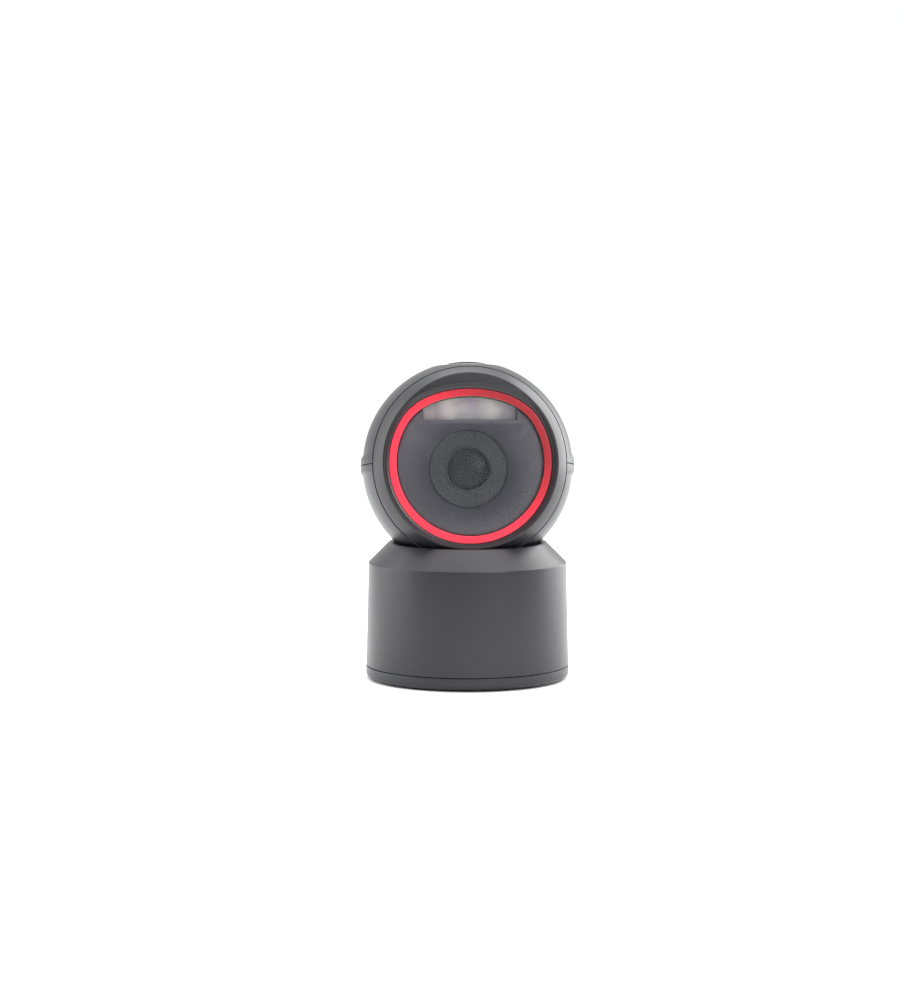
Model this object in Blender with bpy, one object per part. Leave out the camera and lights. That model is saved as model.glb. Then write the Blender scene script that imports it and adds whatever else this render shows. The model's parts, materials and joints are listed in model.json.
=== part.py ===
"""Hands-free desktop barcode scanner: a ball-shaped reading head on a round weighted base.

Frame: metres, +Z up, the reading window faces -Y, the origin is the centre of the foot pad's underside.
The head is modelled upright about the ball's centre and then leaned back by its parent empty.
Run it with blender --background --python part.py, or from Blender's text editor.
"""

from math import asin, cos, degrees, pi, radians, sin, sqrt

import bmesh
import bpy
from mathutils import Vector

MM = 0.001

# ---- Driving dimensions ----
CLEAR = 0.3 * MM            # between pieces that rest on, or are let into, each other
SEAM = 0.4 * MM             # open line where two shells meet

BALL_RADIUS = 48.0 * MM
HEAD_WALL = 2.2 * MM
FACE_RADIUS = 39.4 * MM     # circle where the flat face cuts the ball
SEAM_BEHIND_FACE = 7.8 * MM  # plane between the front bezel and the rear shells
BAND_HALF_WIDTH = 4.1 * MM  # raised band round the rear shells' joint
BAND_PROUD = 0.9 * MM

RING_OUTER = 36.5 * MM      # red light ring: a circle whose top is cut by a flatter arc
RING_WIDTH = 3.3 * MM
BROW_HEIGHT = 0.90548 * RING_OUTER  # top of the ring's outline above the face's centre
BROW_RADIUS = 1.43562 * RING_OUTER
CORNER_BLEND = 1.6 * MM

WINDOW_THICKNESS = 1.5 * MM
LENS_DROP = 1.9 * MM        # the camera looks out a little under the face's centre
TUBE_RADIUS = 0.48767 * RING_OUTER  # round end of the dark funnel
FUNNEL_DEPTH = 20.3 * MM    # face to the funnel's round end
PUPIL_RADIUS = 0.5618 * TUBE_RADIUS  # opening in the lens hood
PANEL_WIDTH = 1.1452 * RING_OUTER  # illumination panel above the funnel
PANEL_BOTTOM = 0.53425 * RING_OUTER
PANEL_HEIGHT = 0.3452 * RING_OUTER

CAP_RADIUS = 8.9 * MM       # scan button on top
STATUS_RADIUS = CAP_RADIUS + 6.6 * MM  # pale light ring round the button
TOP_FLAT_RADIUS = STATUS_RADIUS + 0.5 * MM
CAP_TRAVEL = 0.5 * MM

REST_TILT = 8.0             # degrees that the face looks up at rest
TILT_UP = 12.0              # further up, from rest
TILT_DOWN = 18.0            # down, from rest
PIN_RADIUS = 3.0 * MM
ARM_INSIDE = 28.5 * MM      # half the gap between the yoke's arms
ARM_THICKNESS = 2.7 * MM
YOKE_DEPTH = 7.0 * MM       # front to back
NECK_WIDTH = 14.0 * MM

BASE_RADIUS = 46.5 * MM     # at the foot
BASE_DRAFT = 1.2 * MM       # narrower at the shoulder
BASE_WALL = 2.5 * MM
RIM_HEIGHT = 60.2 * MM      # edge of the bowl under the ball
RIM_RADIUS = 33.6 * MM
RIM_LAND = 2.35 * MM        # rounded top of the base between bowl and chamfer
RIM_RISE = 2.65 * MM
RIM_ROUND = 1.5 * MM
PLATE_HEIGHT = 6.1 * MM     # seam above the table
FOOT_PROUD = 0.8 * MM
PAD_THICKNESS = 1.8 * MM
BALL_GAP = 2.2 * MM         # between the ball and the bowl
POST_RADIUS = 8.0 * MM      # swivel post
FLANGE_RADIUS = 16.0 * MM   # turntable
STOP_HALF_WIDTH = 6.9 * MM  # lug in the well that ends the swivel's range
TAB_HALF_WIDTH = 2.0 * MM
SOCKET_WIDTH = 15.6 * MM
SOCKET_HEIGHT = 13.2 * MM
SOCKET_DEPTH = 16.4 * MM
BOARD = 1.6 * MM            # printed boards' thickness

LARGE, MIDDLE, SMALL = 40, 20, 12  # sides of round pieces

# ---- Worked out from them ----
FACE_Y = -sqrt(BALL_RADIUS**2 - FACE_RADIUS**2)
SEAM_Y = FACE_Y + SEAM_BEHIND_FACE
BALL_INSIDE = BALL_RADIUS - HEAD_WALL
BALL_HEIGHT = RIM_HEIGHT + sqrt((BALL_RADIUS + BALL_GAP) ** 2 - RIM_RADIUS**2)
BALL_BOTTOM = BALL_HEIGHT - BALL_RADIUS

RING_FRONT = FACE_Y + 1.1 * MM      # the ring's front, just behind the face
PANE_FRONT = RING_FRONT + 1.2 * MM
PANE_BACK = PANE_FRONT + WINDOW_THICKNESS
LAND_Y = FACE_Y + 5.8 * MM          # bezel's rear land, where the ring's board seats
LED_BOARD_Y = LAND_Y + CLEAR
FLANGE_Y = LED_BOARD_Y + BOARD + CLEAR
FLANGE_BACK = FLANGE_Y + 1.8 * MM
OPTICS_SCREW_RADIUS = RING_OUTER + 1.5 * MM
LINER_RADIUS = FACE_RADIUS + 0.6 * MM  # bezel's rear sleeve, inside
TUBE_Y = FACE_Y + FUNNEL_DEPTH

FLAT_Z = sqrt(BALL_RADIUS**2 - TOP_FLAT_RADIUS**2)
LEDGE_Z = FLAT_Z - 1.95 * MM
BUTTON_BOARD_TOP = FLAT_Z - 4.25 * MM

PIN_END = ARM_INSIDE + ARM_THICKNESS + 8.5 * MM
ARM_OUTSIDE = ARM_INSIDE + ARM_THICKNESS
NECK_TOP = -(BALL_INSIDE - 5.3 * MM)

FOOT_BOTTOM_Z = BALL_BOTTOM - 3.4 * MM     # yoke's foot plate
TURNTABLE_TOP = FOOT_BOTTOM_Z - CLEAR
TURNTABLE_BOTTOM = TURNTABLE_TOP - 2.5 * MM
BUSH_TOP = TURNTABLE_BOTTOM - CLEAR
DECK_TOP = BUSH_TOP - 0.6 * MM - CLEAR
DECK_BOTTOM = DECK_TOP - 2.8 * MM
WELL_RADIUS = FLANGE_RADIUS + 1.8 * MM

SHOULDER_RADIUS = BASE_RADIUS - BASE_DRAFT
RIM_OUTSIDE = RIM_RADIUS + RIM_LAND
SHOULDER_Z = RIM_HEIGHT + RIM_RISE - (SHOULDER_RADIUS - RIM_OUTSIDE)
BASE_SCREW_RADIUS = BASE_RADIUS - 8.5 * MM
PAD_RADIUS = BASE_SCREW_RADIUS - 4.0 * MM
FLOOR_TOP = FOOT_PROUD + 2.9 * MM
BASE_BOARD_Z = FLOOR_TOP + 8.7 * MM


# ---- Shapes: each returns (points, faces) ----
def loft(loops, closed=False):
    """Loops of equal length joined in order; the ends are capped, or joined to each other if closed."""
    count = len(loops[0])
    points = [point for loop in loops for point in loop]
    faces = []
    last = len(loops) if closed else len(loops) - 1
    for i in range(last):
        a, b = i * count, (i + 1) % len(loops) * count
        for j in range(count):
            k = (j + 1) % count
            faces.append((a + j, a + k, b + k, b + j))
    if not closed:
        faces.append(tuple(range(count)))
        faces.append(tuple(reversed(range((len(loops) - 1) * count, len(loops) * count))))
    return points, faces


def upright(radius, along, turn):
    return (radius * cos(turn), radius * sin(turn), along)


def fore_aft(radius, along, turn):
    return (radius * cos(turn), along, radius * sin(turn))


def sideways(radius, along, turn):
    return (along, radius * cos(turn), radius * sin(turn))


def turned(profile, sides, place=upright):
    """A closed (radius, along) outline turned about an axis. It may start and end on the axis."""
    points, faces, rows = [], [], []
    for radius, along in profile:
        if radius < 1e-9:
            rows.append([len(points)] * sides)
            points.append(place(0.0, along, 0.0))
            continue
        rows.append(list(range(len(points), len(points) + sides)))
        points += [place(radius, along, 2 * pi * s / sides) for s in range(sides)]
    for i, row in enumerate(rows):
        after = rows[(i + 1) % len(rows)]
        for j in range(sides):
            k = (j + 1) % sides
            corners = []
            for corner in (row[j], row[k], after[k], after[j]):
                if corner not in corners:
                    corners.append(corner)
            if len(corners) > 2:
                faces.append(tuple(corners))
    return points, faces


def rod(radius, start, end, sides=SMALL, place=upright, at=(0, 0, 0)):
    shape = turned([(0, start), (radius, start), (radius, end), (0, end)], sides, place)
    return moved(shape, at)


def moved(shape, offset):
    points, faces = shape
    return [tuple(Vector(p) + Vector(offset)) for p in points], faces


def block(low, high):
    (x0, y0, z0), (x1, y1, z1) = low, high
    lower = [(x0, y0, z0), (x1, y0, z0), (x1, y1, z0), (x0, y1, z0)]
    return loft([lower, [(x, y, z1) for x, y, _ in lower]])


def prism(outline, start, end, place):
    """An outline of (u, v) pairs made thick; place(u, v, along) gives each point."""
    return loft([[place(u, v, along) for u, v in outline] for along in (start, end)])


def together(*shapes):
    points, faces = [], []
    for more, sides in shapes:
        faces += [tuple(len(points) + i for i in face) for face in sides]
        points += more
    return points, faces


def arc(radius, start, end, steps, centre=(0, 0)):
    """Points of (u, v) on a circle; angles in degrees, both ends included."""
    turns = [radians(start + (end - start) * i / steps) for i in range(steps + 1)]
    return [(centre[0] + radius * cos(t), centre[1] + radius * sin(t)) for t in turns]


def outline_radius(turn, grow):
    """Distance from the face's centre to the ring's outline, grown outwards, in direction turn."""
    circle = RING_OUTER + grow
    centre = BROW_HEIGHT - BROW_RADIUS
    brow = centre * sin(turn) + sqrt((BROW_RADIUS + grow) ** 2 - (centre * cos(turn)) ** 2)
    share = max(CORNER_BLEND - abs(circle - brow), 0) / CORNER_BLEND
    return min(circle, brow) - share**2 * CORNER_BLEND / 4


def face_loop(grow, y):
    turns = [2 * pi * i / LARGE for i in range(LARGE)]
    return [fore_aft(outline_radius(t, grow), y, t) for t in turns]


def round_loop(radius, y, drop=0.0):
    turns = [2 * pi * i / LARGE for i in range(LARGE)]
    return [(radius * cos(t), y, radius * sin(t) - drop) for t in turns]


def ball_circle(radius, y):
    """Radius of a sphere about the ball's centre where the plane y cuts it."""
    return sqrt(radius**2 - y**2)


# ---- Objects ----
def clear_scene():
    for old in list(bpy.data.objects):
        bpy.data.objects.remove(old)


def material(name, colour, roughness, metallic=0.0, alpha=1.0):
    found = bpy.data.materials.get(name)
    if found:
        return found
    made = bpy.data.materials.new(name)
    made.use_nodes = True
    shader = made.node_tree.nodes["Principled BSDF"]
    shader.inputs["Base Color"].default_value = (*colour, 1.0)
    shader.inputs["Roughness"].default_value = roughness
    shader.inputs["Metallic"].default_value = metallic
    shader.inputs["Alpha"].default_value = alpha
    return made


FINISHES = {
    "shell_plastic": ((0.055, 0.055, 0.060), 0.42),
    "dark_plastic": ((0.022, 0.022, 0.024), 0.50),
    "funnel_plastic": ((0.070, 0.070, 0.075), 0.38),
    "red_light_guide": ((0.90, 0.05, 0.07), 0.30),
    "clear_acrylic": ((0.80, 0.82, 0.85), 0.05, 0.0, 0.35),
    "milky_diffuser": ((0.78, 0.75, 0.78), 0.35),
    "status_lens": ((0.90, 0.90, 0.90), 0.25),
    "lens_glass": ((0.05, 0.05, 0.07), 0.05),
    "circuit_board": ((0.02, 0.16, 0.07), 0.45),
    "led_body": ((0.90, 0.88, 0.75), 0.35),
    "steel": ((0.55, 0.55, 0.56), 0.32, 1.0),
    "aluminium": ((0.72, 0.72, 0.73), 0.40, 1.0),
    "gold_contact": ((0.95, 0.70, 0.25), 0.25, 1.0),
    "rubber": ((0.015, 0.015, 0.016), 0.85),
    "acetal": ((0.85, 0.85, 0.83), 0.40),
    "cable_jacket": ((0.03, 0.03, 0.03), 0.55),
}


def frame(name, location=(0, 0, 0), lean=0.0, parent=None):
    empty = bpy.data.objects.new(name, None)
    bpy.context.scene.collection.objects.link(empty)
    empty.location = location
    empty.rotation_euler.x = lean
    empty.parent = parent
    return empty


def mesh_of(name, shape, in_triangles=False):
    points, faces = shape
    mesh = bpy.data.meshes.new(name)
    mesh.from_pydata(points, [], faces)
    mesh.validate()
    work = bmesh.new()
    work.from_mesh(mesh)
    bmesh.ops.recalc_face_normals(work, faces=work.faces)
    if in_triangles:
        bmesh.ops.triangulate(work, faces=work.faces)
    work.to_mesh(mesh)
    work.free()
    mesh.shade_smooth()
    mesh.set_sharp_from_angle(angle=radians(30))
    return mesh


def piece(name, shape, finish, parent, location=(0, 0, 0), turn=(0, 0, 0)):
    """A named part. shape may also be a mesh that several parts share."""
    mesh = shape if isinstance(shape, bpy.types.Mesh) else mesh_of(name, shape)
    made = bpy.data.objects.new(name, mesh)
    bpy.context.scene.collection.objects.link(made)
    if not mesh.materials:
        mesh.materials.append(material(finish, *FINISHES[finish]))
    made.parent = parent
    made.location = location
    made.rotation_euler = turn
    return made


def shaped(target, operation, *shapes):
    """Cuts from target, or joins to it, shapes that don't touch each other."""
    mesh = mesh_of("helper", together(*shapes), in_triangles=True)
    helper = bpy.data.objects.new(f"{target.name}_{operation.lower()}", mesh)
    bpy.context.scene.collection.objects.link(helper)
    helper.parent = target.parent
    helper.hide_render = True
    helper.display_type = "WIRE"
    change = target.modifiers.new(operation.title(), "BOOLEAN")
    change.operation = operation
    change.solver = "EXACT"
    change.object = helper
    return target


def cut(target, *shapes):
    return shaped(target, "DIFFERENCE", *shapes)


def join(target, *shapes):
    return shaped(target, "UNION", *shapes)


def screw_mesh(name, head_radius, head_height, shank_radius, length, countersunk=False):
    """Head above z = 0 (below it if countersunk), shank down to -length, with a square drive recess."""
    if countersunk:
        profile = [(0, 0), (head_radius, 0), (shank_radius, -head_height), (shank_radius, -length), (0, -length)]
        top = 0.0
    else:
        top = head_height
        profile = [
            (0, top),
            (head_radius * 0.75, top),
            (head_radius, top * 0.55),
            (head_radius, 0),
            (shank_radius, 0),
            (shank_radius, -length),
            (0, -length),
        ]
    made = piece(name + "_pattern", turned(profile, SMALL), "steel", None)
    half, depth = head_radius * 0.32, head_height * 0.55
    cut(made, block((-half, -half, top - depth), (half, half, top + depth)))
    bpy.context.view_layer.update()
    graph = bpy.context.evaluated_depsgraph_get()
    mesh = bpy.data.meshes.new_from_object(made.evaluated_get(graph))
    mesh.name = name
    for spent in (bpy.data.objects[made.name + "_difference"], made):
        bpy.data.objects.remove(spent)
    return mesh


# ---- Base: everything that stands still ----
def base_outside():
    """(radius, height) from the seam up over the shoulder, chamfer and rim to the bowl's edge."""
    foot = PLATE_HEIGHT + SEAM
    rim = arc(RIM_ROUND, 100, 180, 2, (RIM_RADIUS + RIM_ROUND, RIM_HEIGHT + RIM_RISE - RIM_ROUND))
    return [
        (BASE_RADIUS - 0.05 * MM, foot),
        (SHOULDER_RADIUS + 0.05 * MM, SHOULDER_Z - 0.4 * MM),
        (SHOULDER_RADIUS - 0.4 * MM, SHOULDER_Z + 0.4 * MM),
        (RIM_OUTSIDE + 0.7 * MM, RIM_HEIGHT + RIM_RISE - 0.7 * MM),
        (RIM_OUTSIDE - 0.5 * MM, RIM_HEIGHT + RIM_RISE),
        *rim,
    ]


def bowl(radius, from_circle, to_circle, steps):
    """Points down a bowl about the ball's centre, between two circles on it."""
    start, end = asin(from_circle / radius), asin(to_circle / radius)
    turns = [start + (end - start) * i / steps for i in range(steps + 1)]
    return [(radius * sin(t), BALL_HEIGHT - radius * cos(t)) for t in turns]


def base_screw_places():
    return [(BASE_SCREW_RADIUS, radians(45 + 90 * i)) for i in range(4)]


def base_shell(parent):
    hole = POST_RADIUS + 2.3 * MM
    well_outside = WELL_RADIUS + BASE_WALL
    top_inside = SHOULDER_Z - 1.3 * MM
    profile = [
        *base_outside(),
        *bowl(BALL_RADIUS + BALL_GAP, RIM_RADIUS, WELL_RADIUS, 4),
        (WELL_RADIUS, DECK_TOP),
        (hole, DECK_TOP),
        (hole, DECK_BOTTOM),
        (well_outside, DECK_BOTTOM),
        *reversed(bowl(BALL_RADIUS + BALL_GAP + BASE_WALL, RIM_RADIUS - 1 * MM, well_outside, 3)),
        (SHOULDER_RADIUS - BASE_WALL, top_inside),
        (BASE_RADIUS - BASE_WALL, PLATE_HEIGHT + SEAM),
    ]
    shell = piece("base_shell", turned(profile, LARGE), "shell_plastic", parent)
    posts = []
    pilots = []
    for radius, turn in base_screw_places():
        at = (radius * cos(turn), radius * sin(turn), 0)
        roof = SHOULDER_Z + (SHOULDER_RADIUS - BASE_SCREW_RADIUS) - 4.4 * MM
        posts.append(rod(3.2 * MM, FLOOR_TOP + CLEAR, roof, 10, at=at))
        pilots.append(rod(1.6 * MM, FLOOR_TOP - CLEAR, FLOOR_TOP + 12 * MM, 8, at=at))
    join(shell, *posts)
    lug = block(
        (-STOP_HALF_WIDTH, WELL_RADIUS - 1.5 * MM, DECK_TOP - 1 * MM),
        (STOP_HALF_WIDTH, WELL_RADIUS + 1 * MM, TURNTABLE_TOP - 1 * MM),
    )
    join(shell, lug)
    half = SOCKET_WIDTH / 2 + 0.4 * MM
    low = BASE_BOARD_Z + BOARD
    mouth = block(
        (-half, BASE_RADIUS - 9 * MM, low - 0.1 * MM),
        (half, BASE_RADIUS + 5 * MM, low + 2 * CLEAR + SOCKET_HEIGHT + 0.1 * MM),
    )
    cut(shell, *pilots, mouth)
    return shell


def base_plate(parent):
    pocket = PAD_RADIUS + CLEAR
    lip = BASE_RADIUS - BASE_WALL - 0.5 * MM
    round_edge = 2.9 * MM
    edge = arc(round_edge, -90, 0, 4, (BASE_RADIUS - round_edge, FOOT_PROUD + round_edge))
    profile = [
        (0, PAD_THICKNESS + CLEAR),
        (pocket, PAD_THICKNESS + CLEAR),
        (pocket, FOOT_PROUD),
        *edge,
        (BASE_RADIUS, PLATE_HEIGHT),
        (lip, PLATE_HEIGHT),
        (lip, PLATE_HEIGHT + 2 * MM),
        (lip - 1.4 * MM, PLATE_HEIGHT + 2 * MM),
        (lip - 1.4 * MM, FLOOR_TOP),
        (0, FLOOR_TOP),
    ]
    plate = piece("base_plate", turned(profile, LARGE), "shell_plastic", parent)
    join(plate, *[rod(2.8 * MM, FLOOR_TOP - 1 * MM, BASE_BOARD_Z - CLEAR, 10, at=at) for at in standoffs()])
    holes = [rod(1.2 * MM, FLOOR_TOP + 2 * MM, BASE_BOARD_Z, 8, at=at) for at in standoffs()]
    for radius, turn in base_screw_places():
        at = (radius * cos(turn), radius * sin(turn), 0)
        well = [(0, 0), (3.0 * MM, 0), (3.0 * MM, FOOT_PROUD + 1.5 * MM), (1.75 * MM, FOOT_PROUD + 1.5 * MM)]
        well += [(1.75 * MM, FLOOR_TOP + 1 * MM), (0, FLOOR_TOP + 1 * MM)]
        holes.append(moved(turned(well, 12), at))
    return cut(plate, *holes)


def standoffs():
    """Where the base board is held, off the swivel's axis."""
    return [(side * 10 * MM, -10 * MM, 0) for side in (-1, 1)]


def foot_pad(parent):
    edge = 0.4 * MM
    profile = [(0, 0), (PAD_RADIUS - edge, 0), (PAD_RADIUS, edge), (PAD_RADIUS, PAD_THICKNESS), (0, PAD_THICKNESS)]
    return piece("foot_pad", turned(profile, LARGE), "rubber", parent)


def ballast_plate(parent):
    low = FLOOR_TOP + CLEAR
    radius = BASE_SCREW_RADIUS - 3.9 * MM
    disc = piece("ballast_plate", rod(radius, low, low + 4 * MM, MIDDLE), "steel", parent)
    return cut(disc, *[rod(3.2 * MM, 0, low + 6 * MM, 12, at=at) for at in standoffs()])


def base_board(parent):
    back = sqrt((BASE_RADIUS - BASE_WALL - 0.8 * MM) ** 2 - (14 * MM) ** 2)
    low, high = BASE_BOARD_Z, BASE_BOARD_Z + BOARD
    board = piece("base_board", block((-14 * MM, -15 * MM, low), (14 * MM, back, high)), "circuit_board", parent)
    return cut(board, *[rod(1.4 * MM, low - 1 * MM, high + 1 * MM, 10, at=at) for at in standoffs()])


def socket_mouth():
    """Lowest and highest corner of the plug's space in the cable socket."""
    low = BASE_BOARD_Z + BOARD + CLEAR + 2.0 * MM
    face = socket_face()
    return (-5.9 * MM, face - 12.5 * MM, low), (5.9 * MM, face, low + 8.6 * MM)


def socket_face():
    return BASE_RADIUS - 1.4 * MM


def cable_socket(parent):
    low = BASE_BOARD_Z + BOARD + CLEAR
    half, face = SOCKET_WIDTH / 2, socket_face()
    body = block((-half, face - SOCKET_DEPTH, low), (half, face, low + SOCKET_HEIGHT))
    socket = piece("cable_socket", body, "dark_plastic", parent)
    start, end = socket_mouth()
    room = block(start, (end[0], face + 2 * MM, end[2]))
    cut(socket, room)
    latch = block((-3.1 * MM, start[1] + 4 * MM, end[2] - 0.5 * MM), (3.1 * MM, face + 2 * MM, end[2] + 1.7 * MM))
    return cut(socket, latch)


def socket_contacts(parent):
    """A comb of ten spring contacts lying on the mouth's floor."""
    (_, back, floor), _ = socket_mouth()
    pitch, width, count = 1.02 * MM, 0.5 * MM, 10
    strip, tip = back + CLEAR, back + 8.5 * MM
    root = strip + 1.6 * MM
    outline = [(-pitch * count / 2, strip), (pitch * count / 2, strip)]
    for i in reversed(range(count)):
        middle = (i - (count - 1) / 2) * pitch
        right, left = middle + width / 2, middle - width / 2
        outline += [(right, root), (right, tip), (left, tip), (left, root)]
    height = floor + CLEAR
    shape = prism(outline, height, height + 0.5 * MM, lambda u, v, along: (u, v, along))
    return piece("socket_contacts", shape, "gold_contact", parent)


def swivel_bush(parent):
    bore, sleeve, flange = POST_RADIUS + CLEAR, POST_RADIUS + 2.0 * MM, FLANGE_RADIUS - 1 * MM
    low = DECK_TOP + CLEAR
    profile = [
        (bore, BUSH_TOP),
        (flange, BUSH_TOP),
        (flange, low),
        (sleeve, low),
        (sleeve, DECK_BOTTOM),
        (bore, DECK_BOTTOM),
    ]
    return piece("swivel_bush", turned(profile, MIDDLE), "acetal", parent)


def base_screws(parent):
    mesh = screw_mesh("base_screw", 2.7 * MM, 1.1 * MM, 1.45 * MM, 11 * MM)
    for number, (radius, turn) in enumerate(base_screw_places(), 1):
        at = (radius * cos(turn), radius * sin(turn), FOOT_PROUD + 1.5 * MM - 0.15 * MM)
        piece(f"base_screw_{number}", mesh, "steel", parent, at, (pi, 0, 0))
    mesh = screw_mesh("board_screw", 2.2 * MM, 1.1 * MM, 1.0 * MM, 6 * MM)
    for number, (x, y, _) in enumerate(standoffs(), 1):
        at = (x, y, BASE_BOARD_Z + BOARD + 0.15 * MM)
        piece(f"base_board_screw_{number}", mesh, "steel", parent, at)


def cable(name, route, radius, parent, sides=2):
    """A tube along a smooth curve through the route's points, read off every 2 to 3 diameters."""
    data = bpy.data.curves.new(name, "CURVE")
    data.dimensions = "3D"
    data.bevel_depth = radius
    data.bevel_resolution = sides
    data.use_fill_caps = True
    smooth = smooth_route(route, 5 * radius)
    spline = data.splines.new("POLY")
    spline.points.add(len(smooth) - 1)
    for point, place in zip(spline.points, smooth):
        point.co = (*place, 1)
    made = bpy.data.objects.new(name, data)
    bpy.context.scene.collection.objects.link(made)
    data.materials.append(material("cable_jacket", *FINISHES["cable_jacket"]))
    made.parent = parent
    return made


def smooth_route(route, step):
    """Points about a step apart on a Catmull-Rom curve through the route."""
    ends = [Vector(p) for p in route]
    ends = [2 * ends[0] - ends[1], *ends, 2 * ends[-1] - ends[-2]]
    fine = []
    for a, b, c, d in zip(ends, ends[1:], ends[2:], ends[3:]):
        for i in range(12):
            t = i / 12
            fine.append((2 * b + (c - a) * t + (2 * a - 5 * b + 4 * c - d) * t**2 + (3 * b - a - 3 * c + d) * t**3) / 2)
    fine.append(ends[-2])
    length = sum((b - a).length for a, b in zip(fine, fine[1:]))
    count = max(2, round(length / step))
    found, gone, goal = [fine[0]], 0.0, length / count
    for a, b in zip(fine, fine[1:]):
        gone += (b - a).length
        if gone >= goal - 1e-9 and len(found) < count:
            found.append(b)
            goal += length / count
    return [*found, fine[-1]]


# ---- Swivel: the turntable and the yoke that carries the head ----
def turntable(parent):
    bore = 5.0 * MM
    bottom = DECK_BOTTOM - 6.5 * MM
    groove = clip_groove()
    profile = [
        (bore, TURNTABLE_TOP),
        (FLANGE_RADIUS, TURNTABLE_TOP),
        (FLANGE_RADIUS, TURNTABLE_BOTTOM),
        (POST_RADIUS, TURNTABLE_BOTTOM),
        (POST_RADIUS, groove[1]),
        (POST_RADIUS - 1.1 * MM, groove[1]),
        (POST_RADIUS - 1.1 * MM, groove[0]),
        (POST_RADIUS, groove[0]),
        (POST_RADIUS, bottom),
        (bore, bottom),
    ]
    table = piece("turntable", turned(profile, MIDDLE), "dark_plastic", parent)
    tab = block(
        (-TAB_HALF_WIDTH, -(WELL_RADIUS - CLEAR), TURNTABLE_BOTTOM + 0.4 * MM),
        (TAB_HALF_WIDTH, -(FLANGE_RADIUS - 2 * MM), TURNTABLE_TOP - 0.4 * MM),
    )
    join(table, tab)
    return cut(
        table,
        *[rod(1.45 * MM, TURNTABLE_BOTTOM - 1 * MM, TURNTABLE_TOP + 1 * MM, 10, at=at) for at in yoke_screw_places()],
    )


def clip_groove():
    return DECK_BOTTOM - 3.6 * MM, DECK_BOTTOM - 2.0 * MM


def yoke_screw_places():
    return [(0, side * 9.6 * MM, 0) for side in (-1, 1)]


def swivel_clip(parent):
    low, high = clip_groove()
    inner, outer = POST_RADIUS - 1.1 * MM + CLEAR, POST_RADIUS + 2.6 * MM
    outline = [*arc(outer, -62, 242, 16), *arc(inner, 242, -62, 16)]
    shape = prism(outline, low + CLEAR, high - CLEAR, lambda u, v, along: (u, v, along))
    return piece("swivel_clip", shape, "steel", parent)


def swivel_spring_washer(parent):
    """A wavy ring that presses the turntable down on its bush."""
    inner, outer = POST_RADIUS + CLEAR, POST_RADIUS + 3.2 * MM
    high = DECK_BOTTOM - CLEAR
    low = clip_groove()[1]
    middle, swing, thick = (low + high) / 2, (high - low) / 2 - 0.4 * MM, 0.4 * MM

    def ring(radius, lift):
        turns = [2 * pi * i / MIDDLE for i in range(MIDDLE)]
        return [upright(radius, middle + swing * sin(3 * t) * 0.8 + lift, t) for t in turns]

    loops = [ring(inner, -thick / 2), ring(outer, -thick / 2), ring(outer, thick / 2), ring(inner, thick / 2)]
    return piece("swivel_spring_washer", loft(loops, closed=True), "steel", parent)


def yoke_outline():
    """Right-hand half of the yoke in (x, height above the ball's centre), outside then inside."""
    slope_out = sqrt((BALL_INSIDE - 2.2 * MM) ** 2 - ARM_OUTSIDE**2)
    neck = NECK_WIDTH / 2
    shoulder = (24 * MM, -sqrt((BALL_INSIDE - 2.0 * MM) ** 2 - (24 * MM) ** 2))
    outside = [
        (ARM_OUTSIDE, 0),
        (ARM_OUTSIDE, -slope_out + 1 * MM),
        shoulder,
        (neck, -(BALL_INSIDE - 2.6 * MM)),
        (neck, FOOT_BOTTOM_Z + 1.2 * MM - BALL_HEIGHT),
    ]
    inside = [(neck - 1 * MM, NECK_TOP), (21 * MM, shoulder[1] + 4.2 * MM), (ARM_INSIDE, -slope_out + 4 * MM), (ARM_INSIDE, 0)]
    return outside, inside


def tilt_yoke(parent):
    outside, inside = yoke_outline()
    right = [*inside, *outside]
    left = [(-x, z) for x, z in reversed(right)]
    outline = [(x, z + BALL_HEIGHT) for x, z in [*right, *left]]
    half = YOKE_DEPTH / 2
    shape = prism(outline, -half, half, lambda u, v, along: (u, along, v))
    yoke = piece("tilt_yoke", shape, "aluminium", parent)
    at = (0, 0, BALL_HEIGHT)
    for side in (-1, 1):
        join(yoke, rod(6.5 * MM, side * ARM_INSIDE, side * ARM_OUTSIDE, MIDDLE, sideways, at))
    foot = rod(12.5 * MM, FOOT_BOTTOM_Z, FOOT_BOTTOM_Z + 2.3 * MM, MIDDLE)
    join(yoke, foot)
    holes = []
    for side in (-1, 1):
        start, end = side * (ARM_INSIDE - 1 * MM), side * (ARM_OUTSIDE + 1 * MM)
        holes.append(rod(PIN_RADIUS + CLEAR, start, end, 20, sideways, at))
    holes.append(rod(2.4 * MM, FOOT_BOTTOM_Z - 1 * MM, BALL_HEIGHT + NECK_TOP + 1 * MM, SMALL))
    top = FOOT_BOTTOM_Z + 2.3 * MM
    sink = [(0, top + 0.5 * MM), (2.95 * MM, top + 0.5 * MM), (1.45 * MM, top - 1.1 * MM)]
    sink += [(1.45 * MM, FOOT_BOTTOM_Z - 1 * MM), (0, FOOT_BOTTOM_Z - 1 * MM)]
    holes += [moved(turned(sink, SMALL), place) for place in yoke_screw_places()]
    return cut(yoke, *holes)


def yoke_screws(parent):
    mesh = screw_mesh("yoke_screw", 2.1 * MM, 1.0 * MM, 1.15 * MM, 4.6 * MM, countersunk=True)
    for number, (x, y, _) in enumerate(yoke_screw_places(), 1):
        piece(f"yoke_screw_{number}", mesh, "steel", parent, (x, y, FOOT_BOTTOM_Z + 2.25 * MM))


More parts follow.
